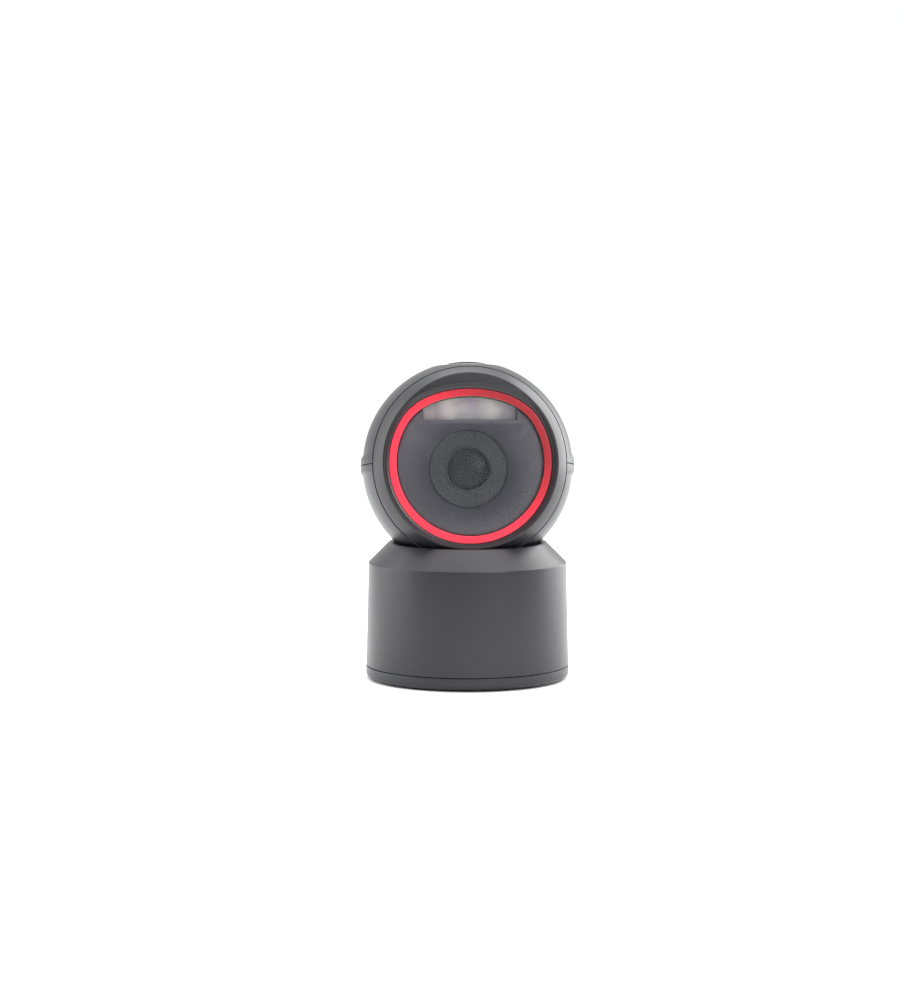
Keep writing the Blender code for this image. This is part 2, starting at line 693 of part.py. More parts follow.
def tilt_pins(parent):
    """Headed pins through the yoke's arms. Their free ends run in the head's trunnion seats."""
    for name, side in (("left", -1), ("right", 1)):
        head = side * (ARM_INSIDE - CLEAR)
        inner = side * (ARM_INSIDE - CLEAR - 1.8 * MM)
        profile = [(0, inner), (4.8 * MM, inner), (4.8 * MM, head), (PIN_RADIUS, head)]
        profile += [(PIN_RADIUS, side * PIN_END), (0, side * PIN_END)]
        shape = moved(turned(profile, 20, sideways), (0, 0, BALL_HEIGHT))
        piece(f"tilt_pin_{name}", shape, "steel", parent)


def tilt_washers(parent):
    """Friction washers between the yoke's arms and the trunnion seats, which hold the head's tilt."""
    for name, side in (("left", -1), ("right", 1)):
        start, end = side * (ARM_OUTSIDE + CLEAR), side * (seat_inside() - CLEAR)
        profile = [(PIN_RADIUS + CLEAR, start), (6 * MM, start), (6 * MM, end), (PIN_RADIUS + CLEAR, end)]
        shape = moved(turned(profile, 20, sideways), (0, 0, BALL_HEIGHT))
        piece(f"tilt_washer_{name}", shape, "acetal", parent)


def seat_inside():
    return ARM_OUTSIDE + 2.0 * MM


# ---- Head: shells, optics and boards, in the ball's own upright frame ----
def band_profile(sign):
    """(radius, height) of the raised band beside the joint of the rear shells."""
    edge = sqrt(BALL_RADIUS**2 - (BAND_HALF_WIDTH + 0.8 * MM) ** 2)
    return [
        (BALL_RADIUS + BAND_PROUD, sign * SEAM / 2),
        (BALL_RADIUS + BAND_PROUD - 0.15 * MM, sign * (BAND_HALF_WIDTH - 0.9 * MM)),
        (edge, sign * (BAND_HALF_WIDTH + 0.8 * MM)),
    ]


def meridian(radius, from_height, to_height, steps):
    start, end = asin(from_height / radius), asin(to_height / radius)
    turns = [start + (end - start) * i / steps for i in range(steps + 1)]
    return [(radius * cos(t), radius * sin(t)) for t in turns]


def shell_screw_places():
    """(x, y, depth of the screw's seat below the joint)."""
    return [(side * 24 * MM, 27 * MM, 20 * MM) for side in (-1, 1)]


def front_cut():
    """Everything in front of the seam plane."""
    far = BALL_RADIUS * 1.5
    return block((-far, -far, -far), (far, SEAM_Y + SEAM / 2, far))


def screw_post(x, y, radius, sign, sides):
    """An upright post from the joint to inside the ball's wall, its end shaped to the ball."""
    reach = BALL_INSIDE + 0.8 * MM
    turns = [2 * pi * i / sides for i in range(sides)]
    ring = [(x + radius * cos(t), y + radius * sin(t)) for t in turns]
    near = [(u, v, sign * SEAM / 2) for u, v in ring]
    far = [(u, v, sign * sqrt(reach**2 - u**2 - v**2)) for u, v in ring]
    points, faces = loft([near, far])
    points.append((x, y, sign * sqrt(reach**2 - x**2 - y**2)))
    faces.pop()
    faces += [(sides + (i + 1) % sides, sides + i, 2 * sides) for i in range(sides)]
    return points, faces


def trunnion_seats(shell, sign):
    """Half of each pivot seat, closed by the other shell's half."""
    half_length, depth = 5.5 * MM, 11 * MM
    seats, bores = [], []
    for side in (-1, 1):
        wall = sqrt((BALL_INSIDE + 1.0 * MM) ** 2 - half_length**2 - depth**2)
        xs = sorted((side * seat_inside(), side * wall))
        zs = sorted((sign * SEAM / 2, sign * depth))
        seats.append(block((xs[0], -half_length, zs[0]), (xs[1], half_length, zs[1])))
        start, end = side * (seat_inside() - 1 * MM), side * (PIN_END + CLEAR)
        bores.append(rod(PIN_RADIUS + CLEAR, start, end, 20, sideways))
    join(shell, *seats)
    cut(shell, *bores)


def upper_shell(parent):
    inner_edge = STATUS_RADIUS + CLEAR
    opening = STATUS_RADIUS - 2.3 * MM
    under = BUTTON_BOARD_TOP + CLEAR
    thick_edge = sqrt(BALL_INSIDE**2 - under**2)
    profile = [
        *band_profile(1),
        *meridian(BALL_RADIUS, BAND_HALF_WIDTH + 0.8 * MM, FLAT_Z, 8)[1:],
        (inner_edge, FLAT_Z),
        (inner_edge, LEDGE_Z),
        (opening, LEDGE_Z),
        (opening, under),
        *meridian(BALL_INSIDE, under, SEAM / 2, 8),
    ]
    assert thick_edge > opening
    shell = piece("upper_shell", turned(profile, LARGE), "shell_plastic", parent)
    posts, holes = [], []
    for x, y, _ in shell_screw_places():
        posts.append(screw_post(x, y, 3.4 * MM, 1, 10))
        holes.append(rod(1.3 * MM, -1 * MM, 9 * MM, 8, at=(x, y, 0)))
    join(shell, *posts)
    trunnion_seats(shell, 1)
    cut(shell, front_cut(), *holes)
    cut(shell, rod(LINER_RADIUS + 1.3 * MM, SEAM_Y - 1 * MM, SEAM_Y + 2.9 * MM, LARGE, fore_aft))
    pilots = [rod(0.9 * MM, under - 1 * MM, under + 1.7 * MM, 8, at=at) for at in button_screw_places()]
    return cut(shell, *pilots, *speaker_slots())


def speaker_slots():
    """Slots through the rear of the upper shell in front of the sounder."""
    slots = []
    for i in range(5):
        height = (10.5 + 3.2 * i) * MM
        half = (7.0 - 0.9 * abs(i - 2)) * MM
        slots.append(block((-half, 25 * MM, height), (half, BALL_RADIUS + 3 * MM, height + 1.3 * MM)))
    return slots


def button_screw_places():
    radius = STATUS_RADIUS + 1.0 * MM
    return [(side * radius, 0, 0) for side in (-1, 1)]


def lower_shell(parent):
    bottom = 3 * MM
    profile = [
        *band_profile(-1),
        *meridian(BALL_RADIUS, -BAND_HALF_WIDTH - 0.8 * MM, -sqrt(BALL_RADIUS**2 - bottom**2), 9)[1:],
        *meridian(BALL_INSIDE, -sqrt(BALL_INSIDE**2 - bottom**2), -SEAM / 2, 9),
    ]
    shell = piece("lower_shell", turned(profile, LARGE), "shell_plastic", parent)
    posts, holes = [], []
    for x, y, seat in shell_screw_places():
        posts.append(screw_post(x, y, 3.9 * MM, -1, 12))
        well = [(0, -BALL_RADIUS), (2.6 * MM, -BALL_RADIUS), (2.6 * MM, -seat), (1.35 * MM, -seat)]
        well += [(1.35 * MM, 1 * MM), (0, 1 * MM)]
        holes.append(moved(turned(well, 12), (x, y, 0)))
    join(shell, *posts)
    trunnion_seats(shell, -1)
    cut(shell, front_cut(), *holes)
    return cut(shell, neck_slot())


def neck_slot():
    """The slot that lets the neck swing through the tilt's whole range."""
    reach = degrees(asin((YOKE_DEPTH / 2 + 0.8 * MM) / BALL_INSIDE))
    front = -BALL_RADIUS * sin(radians(TILT_DOWN - REST_TILT + reach))
    back = BALL_RADIUS * sin(radians(REST_TILT + TILT_UP + reach))
    half = NECK_WIDTH / 2 + 1 * MM
    return block((-half, front, -BALL_RADIUS - 2 * MM), (half, back, -BALL_INSIDE * 0.7))


def shell_screws(parent):
    mesh = screw_mesh("shell_screw", 2.2 * MM, 1.4 * MM, 1.1 * MM, 22 * MM)
    for number, (x, y, seat) in enumerate(shell_screw_places(), 1):
        piece(f"shell_screw_{number}", mesh, "steel", parent, (x, y, -seat - 0.15 * MM), (pi, 0, 0))


def front_bezel(parent):
    """Ball zone in front of the seam, flat face, and the stepped frame round the light ring."""
    start, end = SEAM_Y - SEAM / 2, FACE_Y
    steps = 3
    zone = [start + (end - start) * i / steps for i in range(steps + 1)]
    sleeve, sleeve_back = LINER_RADIUS + 1.0 * MM, SEAM_Y + 2.6 * MM
    loops = [
        *[round_loop(ball_circle(BALL_RADIUS, y), y) for y in zone],
        face_loop(2.6 * MM, FACE_Y),
        face_loop(1.3 * MM, FACE_Y + 1.2 * MM),
        face_loop(0.25 * MM, FACE_Y + 1.4 * MM),
        face_loop(0.25 * MM, LAND_Y),
        round_loop(LINER_RADIUS, LAND_Y),
        round_loop(LINER_RADIUS, sleeve_back),
        round_loop(sleeve, sleeve_back),
        round_loop(sleeve, start),
    ]
    bezel = piece("front_bezel", loft(loops, closed=True), "shell_plastic", parent)
    holes = []
    for x, z in optics_screw_places():
        holes.append(rod(0.85 * MM, FACE_Y + 2.6 * MM, LAND_Y + 1 * MM, 8, fore_aft, (x, 0, z)))
    return cut(bezel, *holes)


def optics_screw_places():
    turns = [radians(45 + 90 * i) for i in range(4)]
    return [(OPTICS_SCREW_RADIUS * cos(t), OPTICS_SCREW_RADIUS * sin(t)) for t in turns]


def light_ring(parent):
    """Red light guide: a lip that frames the window, and a wall that takes light from the board behind."""
    wall_end, rebate = LAND_Y - 0.8 * MM, -1.7 * MM
    soft = 0.3 * MM
    loops = [
        face_loop(0, RING_FRONT + soft),
        face_loop(-soft, RING_FRONT),
        face_loop(soft - RING_WIDTH, RING_FRONT),
        face_loop(-RING_WIDTH, RING_FRONT + soft),
        face_loop(-RING_WIDTH, PANE_FRONT - CLEAR),
        face_loop(rebate, PANE_FRONT - CLEAR),
        face_loop(rebate, wall_end),
        face_loop(0, wall_end),
    ]
    return piece("light_ring", loft(loops, closed=True), "red_light_guide", parent)


def scan_window(parent):
    loops = [face_loop(-1.7 * MM - CLEAR, y) for y in (PANE_FRONT, PANE_BACK)]
    return piece("scan_window", loft(loops), "clear_acrylic", parent)


def ring_led_board(parent):
    """Ring board with twelve red diodes facing the light guide."""
    inner, outer = -RING_WIDTH - 0.1 * MM, LINER_RADIUS - CLEAR
    loops = [
        face_loop(inner, LED_BOARD_Y),
        round_loop(outer, LED_BOARD_Y),
        round_loop(outer, LED_BOARD_Y + BOARD),
        face_loop(inner, LED_BOARD_Y + BOARD),
    ]
    board = piece("ring_led_board", loft(loops, closed=True), "circuit_board", parent)
    chips = []
    for i in range(12):
        turn = radians(15 + 30 * i)
        reach = outline_radius(turn, -0.95 * MM)
        at = (reach * cos(turn), 0, reach * sin(turn))
        chips.append(rod(0.7 * MM, LED_BOARD_Y - 0.6 * MM, LED_BOARD_Y + 0.4 * MM, 8, fore_aft, at))
    join(board, *chips)
    holes = [rod(1.1 * MM, LED_BOARD_Y - 1 * MM, FLANGE_Y, 10, fore_aft, (x, 0, z)) for x, z in optics_screw_places()]
    return cut(board, *holes)


def funnel_loops(grow, front):
    """The funnel's surface from its mouth back to the round tube, moved outwards by grow."""
    roof = PANEL_BOTTOM - 2.1 * MM

    def mouth(y, shrink):
        loop = []
        for i in range(LARGE):
            turn = 2 * pi * i / LARGE
            reach = outline_radius(turn, -RING_WIDTH - 1.6 * MM - shrink) + grow
            if sin(turn) > 0:
                reach = min(reach, (roof + grow) / sin(turn))
            loop.append(fore_aft(reach, y, turn))
        return loop

    tube = TUBE_RADIUS + grow
    end = TUBE_Y + (2.2 * MM if grow else 1.6 * MM)
    return [
        mouth(front, 0),
        mouth(FACE_Y + 10.5 * MM, 0.8 * MM),
        round_loop(tube, TUBE_Y, LENS_DROP),
        round_loop(tube, end, LENS_DROP),
    ]


def post_places():
    return [(-27.8 * MM, 12.3 * MM), (27.8 * MM, 12.3 * MM), (22 * MM, -18 * MM), (-22 * MM, -18 * MM)]


def post_end():
    """Behind the sensor's board, and behind the yoke's swing."""
    return max(TUBE_Y + 22.6 * MM, YOKE_DEPTH / 2 + 11.9 * MM)


def optics_shroud(parent):
    """Dark funnel from the window to the camera, with the flange that clamps window, ring and boards."""
    plug_front = PANE_BACK + CLEAR
    outer = LINER_RADIUS - CLEAR
    loops = [
        face_loop(-RING_WIDTH - 0.4 * MM, plug_front),
        face_loop(-RING_WIDTH - 0.4 * MM, FLANGE_Y),
        round_loop(outer, FLANGE_Y),
        round_loop(outer, FLANGE_BACK),
    ]
    shroud = piece("optics_shroud", loft(loops), "funnel_plastic", parent)
    join(shroud, loft(funnel_loops(1.6 * MM, FLANGE_Y + 0.5 * MM)))
    posts = [rod(2.6 * MM, FLANGE_Y + 0.7 * MM, post_end(), 10, fore_aft, (x, 0, z)) for x, z in post_places()]
    join(shroud, *posts)
    cut(shroud, loft(funnel_loops(0, plug_front - 1 * MM)))
    half = PANEL_WIDTH / 2 + CLEAR
    slot = block(
        (-half, plug_front - 1 * MM, PANEL_BOTTOM - CLEAR),
        (half, FLANGE_BACK + 1 * MM, PANEL_BOTTOM + PANEL_HEIGHT + CLEAR),
    )
    holes = [rod(1.0 * MM, FLANGE_Y - 1 * MM, FLANGE_BACK + 1 * MM, 10, fore_aft, (x, 0, z)) for x, z in optics_screw_places()]
    end = post_end()
    holes += [rod(0.95 * MM, end - 6 * MM, end + 1 * MM, 8, fore_aft, (x, 0, z)) for x, z in post_places()]
    return cut(shroud, pupil_hole(), slot, *holes)


def pupil_hole():
    return rod(PUPIL_RADIUS + 5.0 * MM, TUBE_Y + 0.5 * MM, TUBE_Y + 4 * MM, MIDDLE, fore_aft, (0, 0, -LENS_DROP))


def illumination(parent):
    """Panel above the funnel: diffuser, twin reflector, board and two white diodes."""
    half, low, high = PANEL_WIDTH / 2, PANEL_BOTTOM, PANEL_BOTTOM + PANEL_HEIGHT
    front, back = FLANGE_Y, FLANGE_BACK
    piece("illumination_lens", block((-half, front, low), (half, back, high)), "milky_diffuser", parent)
    depth = 6.5 * MM
    cup_start, cup_end = back + CLEAR, back + CLEAR + depth
    body = block((-half, cup_start, low), (half, cup_end, high))
    reflector = piece("illumination_reflector", body, "acetal", parent)
    middle, apart = (low + high) / 2, 0.22967 * PANEL_WIDTH
    wide, cups = 0.44444 * PANEL_HEIGHT, []
    for side in (-1, 1):
        cup = [(0, cup_start - 1 * MM), (wide + 0.3 * MM, cup_start - 1 * MM), (wide, cup_start)]
        cup += [(2.3 * MM, cup_end + 0.1 * MM), (0, cup_end + 0.1 * MM)]
        cups.append(moved(turned(cup, 20, fore_aft), (side * apart, 0, middle)))
    cut(reflector, *cups)
    board_y = cup_end + CLEAR
    board = piece(
        "illumination_board", block((-half, board_y, low), (half, board_y + BOARD, high)), "circuit_board", parent
    )
    chips = []
    for side in (-1, 1):
        x = side * apart
        front_left = (x - 1.4 * MM, board_y - 1.3 * MM, middle - 1.4 * MM)
        chips.append(block(front_left, (x + 1.4 * MM, board_y + 0.8 * MM, middle + 1.4 * MM)))
    join(board, *chips)


def camera(parent):
    """Lens hood, barrel, front lens, sensor block and its board, on the camera's axis."""
    at = (0, 0, -LENS_DROP)
    hood_front = TUBE_Y + 1.2 * MM

    def on_axis(name, profile, finish, sides=MIDDLE):
        return piece(name, moved(turned(profile, sides, fore_aft), at), finish, parent)

    rim, pupil = TUBE_RADIUS - CLEAR, PUPIL_RADIUS
    hood_seat = PUPIL_RADIUS + 4.7 * MM
    on_axis(
        "lens_hood",
        [
            (rim, TUBE_Y - 0.9 * MM),
            (rim, TUBE_Y + 0.2 * MM),
            (hood_seat, TUBE_Y + 0.2 * MM),
            (hood_seat, TUBE_Y + 2.6 * MM),
            (pupil + 1.5 * MM, TUBE_Y + 2.6 * MM),
            (pupil, TUBE_Y + 1.4 * MM),
            (pupil, TUBE_Y + 0.2 * MM),
            (pupil + 0.4 * MM, TUBE_Y - 0.1 * MM),
            (rim - 1.0 * MM, TUBE_Y - 0.4 * MM),
        ],
        "dark_plastic",
    )
    barrel, bore, seat = PUPIL_RADIUS + 1.2 * MM, PUPIL_RADIUS - 0.3 * MM, PUPIL_RADIUS - 2.0 * MM
    start, end = TUBE_Y + 3.0 * MM, TUBE_Y + 9.4 * MM
    on_axis(
        "lens_barrel",
        [(bore, start), (barrel, start), (barrel, end), (seat, end), (seat, start + 2.9 * MM), (bore, start + 2.9 * MM)],
        "dark_plastic",
    )
    glass = bore - CLEAR
    dome = [(0, start - 1.2 * MM), (glass * 0.5, start - 0.95 * MM), (glass * 0.85, start - 0.3 * MM), (glass, start + 0.3 * MM)]
    on_axis("front_lens", [*dome, (glass, start + 2.6 * MM), (0, start + 2.6 * MM)], "lens_glass")
    assert hood_front < start
    half, block_start = 12.5 * MM, end + CLEAR
    block_end = block_start + 6.5 * MM
    body = block((-half, block_start, -half - LENS_DROP), (half, block_end, half - LENS_DROP))
    piece("sensor_block", body, "dark_plastic", parent)
    board_start = block_end + CLEAR
    body = block((-15 * MM, board_start, -14 * MM - LENS_DROP), (15 * MM, board_start + BOARD, 14 * MM - LENS_DROP))
    piece("sensor_board", body, "circuit_board", parent)


def main_board(parent):
    start = post_end() + CLEAR
    body = block((-30.5 * MM, start, -22 * MM), (30.5 * MM, start + BOARD, 23 * MM))
    board = piece("main_board", body, "circuit_board", parent)
    top = start + BOARD + 0.15 * MM
    join(board, block((-7 * MM, start + 1 * MM, -13 * MM), (7 * MM, top + 1.3 * MM, 1 * MM)))
    holes = [rod(1.2 * MM, start - 1 * MM, start + BOARD + 1 * MM, 10, fore_aft, (x, 0, z)) for x, z in post_places()]
    cut(board, *holes)
    can = [(0, top), (6 * MM, top), (6 * MM, top + 7 * MM), (1.2 * MM, top + 7 * MM), (1.2 * MM, top + 5.5 * MM), (0, top + 5.5 * MM)]
    piece("sounder", moved(turned(can, MIDDLE, fore_aft), (0, 0, 13.5 * MM)), "dark_plastic", parent)
    screw = screw_mesh("main_screw", 2.0 * MM, 1.0 * MM, 0.85 * MM, 6 * MM)
    for number, (x, z) in enumerate(post_places()[::2], 1):
        at = (x, start + BOARD + 0.15 * MM, z)
        piece(f"main_board_screw_{number}", screw, "steel", parent, at, (-pi / 2, 0, 0))


def optics_screws(parent):
    mesh = screw_mesh("optics_screw", 1.5 * MM, 0.9 * MM, 0.7 * MM, 6.2 * MM)
    for number, (x, z) in enumerate(optics_screw_places(), 1):
        at = (x, FLANGE_BACK + 0.15 * MM, z)
        piece(f"optics_screw_{number}", mesh, "steel", parent, at, (-pi / 2, 0, 0))


def status_ring(parent):
    """Pale light guide round the button, let into the top of the upper shell."""
    inner, skirt = CAP_RADIUS + 0.4 * MM, STATUS_RADIUS - 2.6 * MM
    low, seat = BUTTON_BOARD_TOP + 1.4 * MM, LEDGE_Z + CLEAR
    profile = [
        (STATUS_RADIUS, seat),
        (STATUS_RADIUS, FLAT_Z + 0.05 * MM),
        (STATUS_RADIUS - 2.5 * MM, FLAT_Z + 0.45 * MM),
        (inner + 0.3 * MM, FLAT_Z + 0.6 * MM),
        (inner, FLAT_Z + 0.4 * MM),
        (inner, low),
        (skirt, low),
        (skirt, seat),
    ]
    return piece("status_ring", turned(profile, MIDDLE + 4), "status_lens", parent)


def button_board(parent):
    """Board under the button, flat in front, with the status ring's diodes and the button's switch."""
    low, radius = BUTTON_BOARD_TOP - BOARD, STATUS_RADIUS + 3.2 * MM
    board = piece("button_board", rod(radius, low, BUTTON_BOARD_TOP, MIDDLE), "circuit_board", parent)
    chips = []
    for i in range(4):
        turn = radians(45 + 90 * i)
        reach = (CAP_RADIUS + 2.9 * MM + STATUS_RADIUS - 2.6 * MM) / 2
        at = (reach * cos(turn), reach * sin(turn), 0)
        chips.append(rod(0.6 * MM, BUTTON_BOARD_TOP - 0.5 * MM, BUTTON_BOARD_TOP + 1.0 * MM, 8, at=at))
    join(board, *chips)
    front = block((-radius - 1 * MM, -radius - 1 * MM, low - 1 * MM), (radius + 1 * MM, SEAM_Y + 3.4 * MM, FLAT_Z))
    holes = [rod(1.15 * MM, low - 1 * MM, BUTTON_BOARD_TOP + 1 * MM, 10, at=at) for at in button_screw_places()]
    cut(board, front, *holes)
    half, start, end = 3.1 * MM, BUTTON_BOARD_TOP + 0.15 * MM, BUTTON_BOARD_TOP + 1.95 * MM
    switch = piece("button_switch", block((-half, -half, start), (half, half, end)), "dark_plastic", parent)
    cut(switch, rod(1.9 * MM, start + 0.6 * MM, end + 1 * MM, SMALL))
    mesh = screw_mesh("button_board_screw", 1.5 * MM, 0.8 * MM, 0.75 * MM, 3.4 * MM)
    for number, (x, y, _) in enumerate(button_screw_places(), 1):
        piece(f"button_board_screw_{number}", mesh, "steel", parent, (x, y, low - 0.15 * MM), (pi, 0, 0))


def scan_button(parent):
    """Domed cap with a retaining flange under the status ring and a stem into the switch."""
    top = FLAT_Z + 2.35 * MM
    rim, flange = FLAT_Z + 1.2 * MM, CAP_RADIUS + 1.7 * MM
    flange_top = BUTTON_BOARD_TOP + 1.1 * MM
    flange_low = BUTTON_BOARD_TOP + CAP_TRAVEL + 0.1 * MM
    roof = FLAT_Z - 0.65 * MM
    stem_end = BUTTON_BOARD_TOP + 0.15 * MM + 0.6 * MM + CAP_TRAVEL + 0.1 * MM
    profile = [
        (0, top),
        (CAP_RADIUS * 0.45, top - 0.17 * MM),
        (CAP_RADIUS * 0.8, top - 0.55 * MM),
        (CAP_RADIUS - 0.2 * MM, rim + 0.25 * MM),
        (CAP_RADIUS, rim),
        (CAP_RADIUS, flange_top),
        (flange, flange_top),
        (flange, flange_low),
        (CAP_RADIUS - 1.2 * MM, flange_low),
        (CAP_RADIUS - 1.2 * MM, roof),
        (1.6 * MM, roof),
        (1.6 * MM, stem_end),
        (0, stem_end),
    ]
    return piece("scan_button", turned(profile, MIDDLE + 4), "shell_plastic", parent)


def button_spring(parent):
    """Coil that lifts the cap: wire turned round the switch."""
    wire, radius, turns = 0.32 * MM, 5.9 * MM, 2.5
    low, high = BUTTON_BOARD_TOP + CLEAR + wire, FLAT_Z - 0.65 * MM - CLEAR - wire
    steps, sides = 30, 6
    loops = []
    for i in range(steps + 1):
        turn = 2 * pi * turns * i / steps
        height = low + (high - low) * i / steps
        loops.append(
            [
                upright(radius + wire * cos(2 * pi * s / sides), height + wire * sin(2 * pi * s / sides), turn)
                for s in range(sides)
            ]
        )
    return piece("button_spring", loft(loops), "steel", parent)


def neck_lead(swivel):
    radius = 1.6 * MM
    low, high = BASE_BOARD_Z + 14 * MM, BALL_HEIGHT + NECK_TOP - 0.2 * MM
    cable("neck_lead", [(0, 0, low), (0, 0, (low + high) / 2), (0, 0, high)], radius, swivel)


def build():
    clear_scene()
    base = frame("base_frame")
    swivel = frame("swivel_frame", parent=base)
    head = frame("head_frame", (0, 0, BALL_HEIGHT), -radians(REST_TILT), swivel)
    button = frame("button_frame", parent=head)
    for make in (base_shell, base_plate, foot_pad, ballast_plate, base_board, cable_socket, socket_contacts):
        make(base)
    for make in (swivel_bush, base_screws):
        make(base)
    for make in (turntable, swivel_clip, swivel_spring_washer, tilt_yoke, yoke_screws, tilt_pins, tilt_washers):
        make(swivel)
    for make in (front_bezel, upper_shell, lower_shell, shell_screws, light_ring, scan_window, ring_led_board):
        make(head)
    for make in (optics_shroud, illumination, camera, main_board, optics_screws, status_ring, button_board):
        make(head)
    for make in (scan_button, button_spring):
        make(button)
    neck_lead(swivel)


build()
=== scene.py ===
import json
import math

import bmesh
import bpy
from mathutils import Matrix, Vector


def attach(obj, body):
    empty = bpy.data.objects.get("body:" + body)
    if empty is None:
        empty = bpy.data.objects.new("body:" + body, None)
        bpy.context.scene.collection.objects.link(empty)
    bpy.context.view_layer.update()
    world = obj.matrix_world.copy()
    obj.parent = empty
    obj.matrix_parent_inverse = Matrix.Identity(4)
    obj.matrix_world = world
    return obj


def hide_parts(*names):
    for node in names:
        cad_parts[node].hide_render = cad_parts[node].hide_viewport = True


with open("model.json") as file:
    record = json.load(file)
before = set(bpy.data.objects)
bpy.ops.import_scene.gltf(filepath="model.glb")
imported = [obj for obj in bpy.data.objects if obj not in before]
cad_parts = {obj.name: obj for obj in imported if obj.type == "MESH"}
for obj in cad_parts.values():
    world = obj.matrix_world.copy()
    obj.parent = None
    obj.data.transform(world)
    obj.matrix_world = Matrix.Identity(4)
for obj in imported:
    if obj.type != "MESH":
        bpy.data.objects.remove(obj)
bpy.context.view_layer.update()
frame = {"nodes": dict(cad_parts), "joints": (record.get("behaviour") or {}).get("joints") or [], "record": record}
scene = bpy.context.scene

# The head is shaped upright about the ball's centre, in millimetres, then leaned back and
# lifted into place.
joints = {joint["name"]: joint for joint in frame["joints"]}
ballCentre = Vector(joints["head_tilt"]["pos_m"])
pressAxis = Vector(joints["button_press"]["axis"])
headLean = math.atan2(-pressAxis.y, -pressAxis.z)  # how far back the head leans at rest
mm = 0.001
standPlace = Matrix.Scale(mm, 4)
headPlace = Matrix.Translation(ballCentre) @ Matrix.Rotation(-headLean, 4, "X") @ standPlace
lookBack = Matrix.Rotation(-math.pi / 2, 4, "X")  # turns an upright axis to run from the face to the back

ball = {
    "radius": 48.0,
    "wall": 2.2,
    "faceRadius": 39.4,
    "seamDepth": 7.8,  # behind the face
    "seamGap": 0.4,
    "reveal": 0.42,  # half the gap between the bezel and the rear shells
    "bandHalf": 4.1,
    "bandProud": 0.9,
    "topFlat": 16.0,
    "lensDrop": 1.9,  # the camera sits this much under the face's centre
}
ball["inside"] = ball["radius"] - ball["wall"]
ball["faceY"] = -math.sqrt(ball["radius"] ** 2 - ball["faceRadius"] ** 2)
ball["seamY"] = ball["faceY"] + ball["seamDepth"]
ball["topZ"] = math.sqrt(ball["radius"] ** 2 - ball["topFlat"] ** 2)
ringOutline = {"radius": 36.5, "browHeight": 33.05, "browRadius": 52.4, "corner": 2.6, "width": 3.3}


def stage(message):
    print("scanner:", message, flush=True)


# ---- node trees
def addNode(tree, kind, inputs=None, **settings):
    made = tree.nodes.new(kind)
    for key, value in settings.items():
        setattr(made, key, value)
    for key, value in (inputs or {}).items():
        if isinstance(value, bpy.types.NodeSocket):
            tree.links.new(value, made.inputs[key])
        else:
            made.inputs[key].default_value = value
    return made


def colour(hexText):
    parts = [int(hexText[i : i + 2], 16) / 255 for i in (1, 3, 5)]
    return (*[p / 12.92 if p <= 0.04045 else ((p + 0.055) / 1.055) ** 2.4 for p in parts], 1.0)


def newFinish(name, base, roughness, **fixed):
    # constants go on the shader's own sockets
    made = bpy.data.materials.new(name)
    made.use_nodes = True
    tree = made.node_tree
    shader = tree.nodes["Principled BSDF"]
    shader.inputs["Base Color"].default_value = colour(base)
    shader.inputs["Roughness"].default_value = roughness
    for label, value in fixed.items():
        shader.inputs[label].default_value = value
    where = addNode(tree, "ShaderNodeTexCoord").outputs["Object"]
    return made, tree, shader, where


def feed(shader, label, socket):
    shader.id_data.links.new(socket, shader.inputs[label])


def noiseAt(where, sizeMm, detail=2.0, rough=0.5):
    inputs = {"Vector": where, "Scale": 1000 / sizeMm, "Detail": detail, "Roughness": rough}
    return addNode(where.id_data, "ShaderNodeTexNoise", inputs).outputs[0]


def blendOf(tree, factor, stops):
    ramp = addNode(tree, "ShaderNodeValToRGB", {0: factor})
    while len(ramp.color_ramp.elements) < len(stops):
        ramp.color_ramp.elements.new(0.5)
    for element, (place, tint) in zip(ramp.color_ramp.elements, stops):
        element.position = place
        element.color = colour(tint)
    return ramp.outputs["Color"]


def spreadOf(tree, factor, low, high):
    inputs = {"Value": factor, "To Min": low, "To Max": high}
    return addNode(tree, "ShaderNodeMapRange", inputs).outputs["Result"]


def tinted(shader, factor, stops):
    feed(shader, "Base Color", blendOf(shader.id_data, factor, stops))


def polished(shader, factor, low, high):
    feed(shader, "Roughness", spreadOf(shader.id_data, factor, low, high))


def grained(shader, height, depthMm, strength):
    inputs = {"Height": height, "Distance": depthMm * mm, "Strength": strength}
    feed(shader, "Normal", addNode(shader.id_data, "ShaderNodeBump", inputs).outputs["Normal"])


# ---- finishes, each named for the real material and how its surface was made
def absSparkEroded(name="absSparkEroded", specular=0.5):
    # moulded ABS from a spark-eroded tool: dark grey, satin, with a fine even grain;
    # the cap, worn by fingers, shines less
    look = {"dark": "#15151a", "light": "#1b1b20", "grain": 0.5, "depth": 0.02, "low": 0.3, "high": 0.36}
    fixed = {"IOR": 1.53, "Specular IOR Level": specular}
    made, tree, shader, where = newFinish(name, look["light"], 0.4, **fixed)
    cloud = noiseAt(where, 26.0, 3.0)
    speck = noiseAt(where, 0.9, 1.0)
    tint = addNode(tree, "ShaderNodeMath", {0: cloud, 1: spreadOf(tree, speck, -0.12, 0.12)}, operation="ADD")
    tinted(shader, tint.outputs[0], [(0.25, look["dark"]), (0.75, look["light"])])
    polished(shader, noiseAt(where, 9.0), look["low"], look["high"])
    # the real grain is about 0.15 mm, drawn coarser to show
    grain = noiseAt(where, look["grain"], 2.0, 0.6)
    grained(shader, grain, look["depth"], 0.35)
    return made


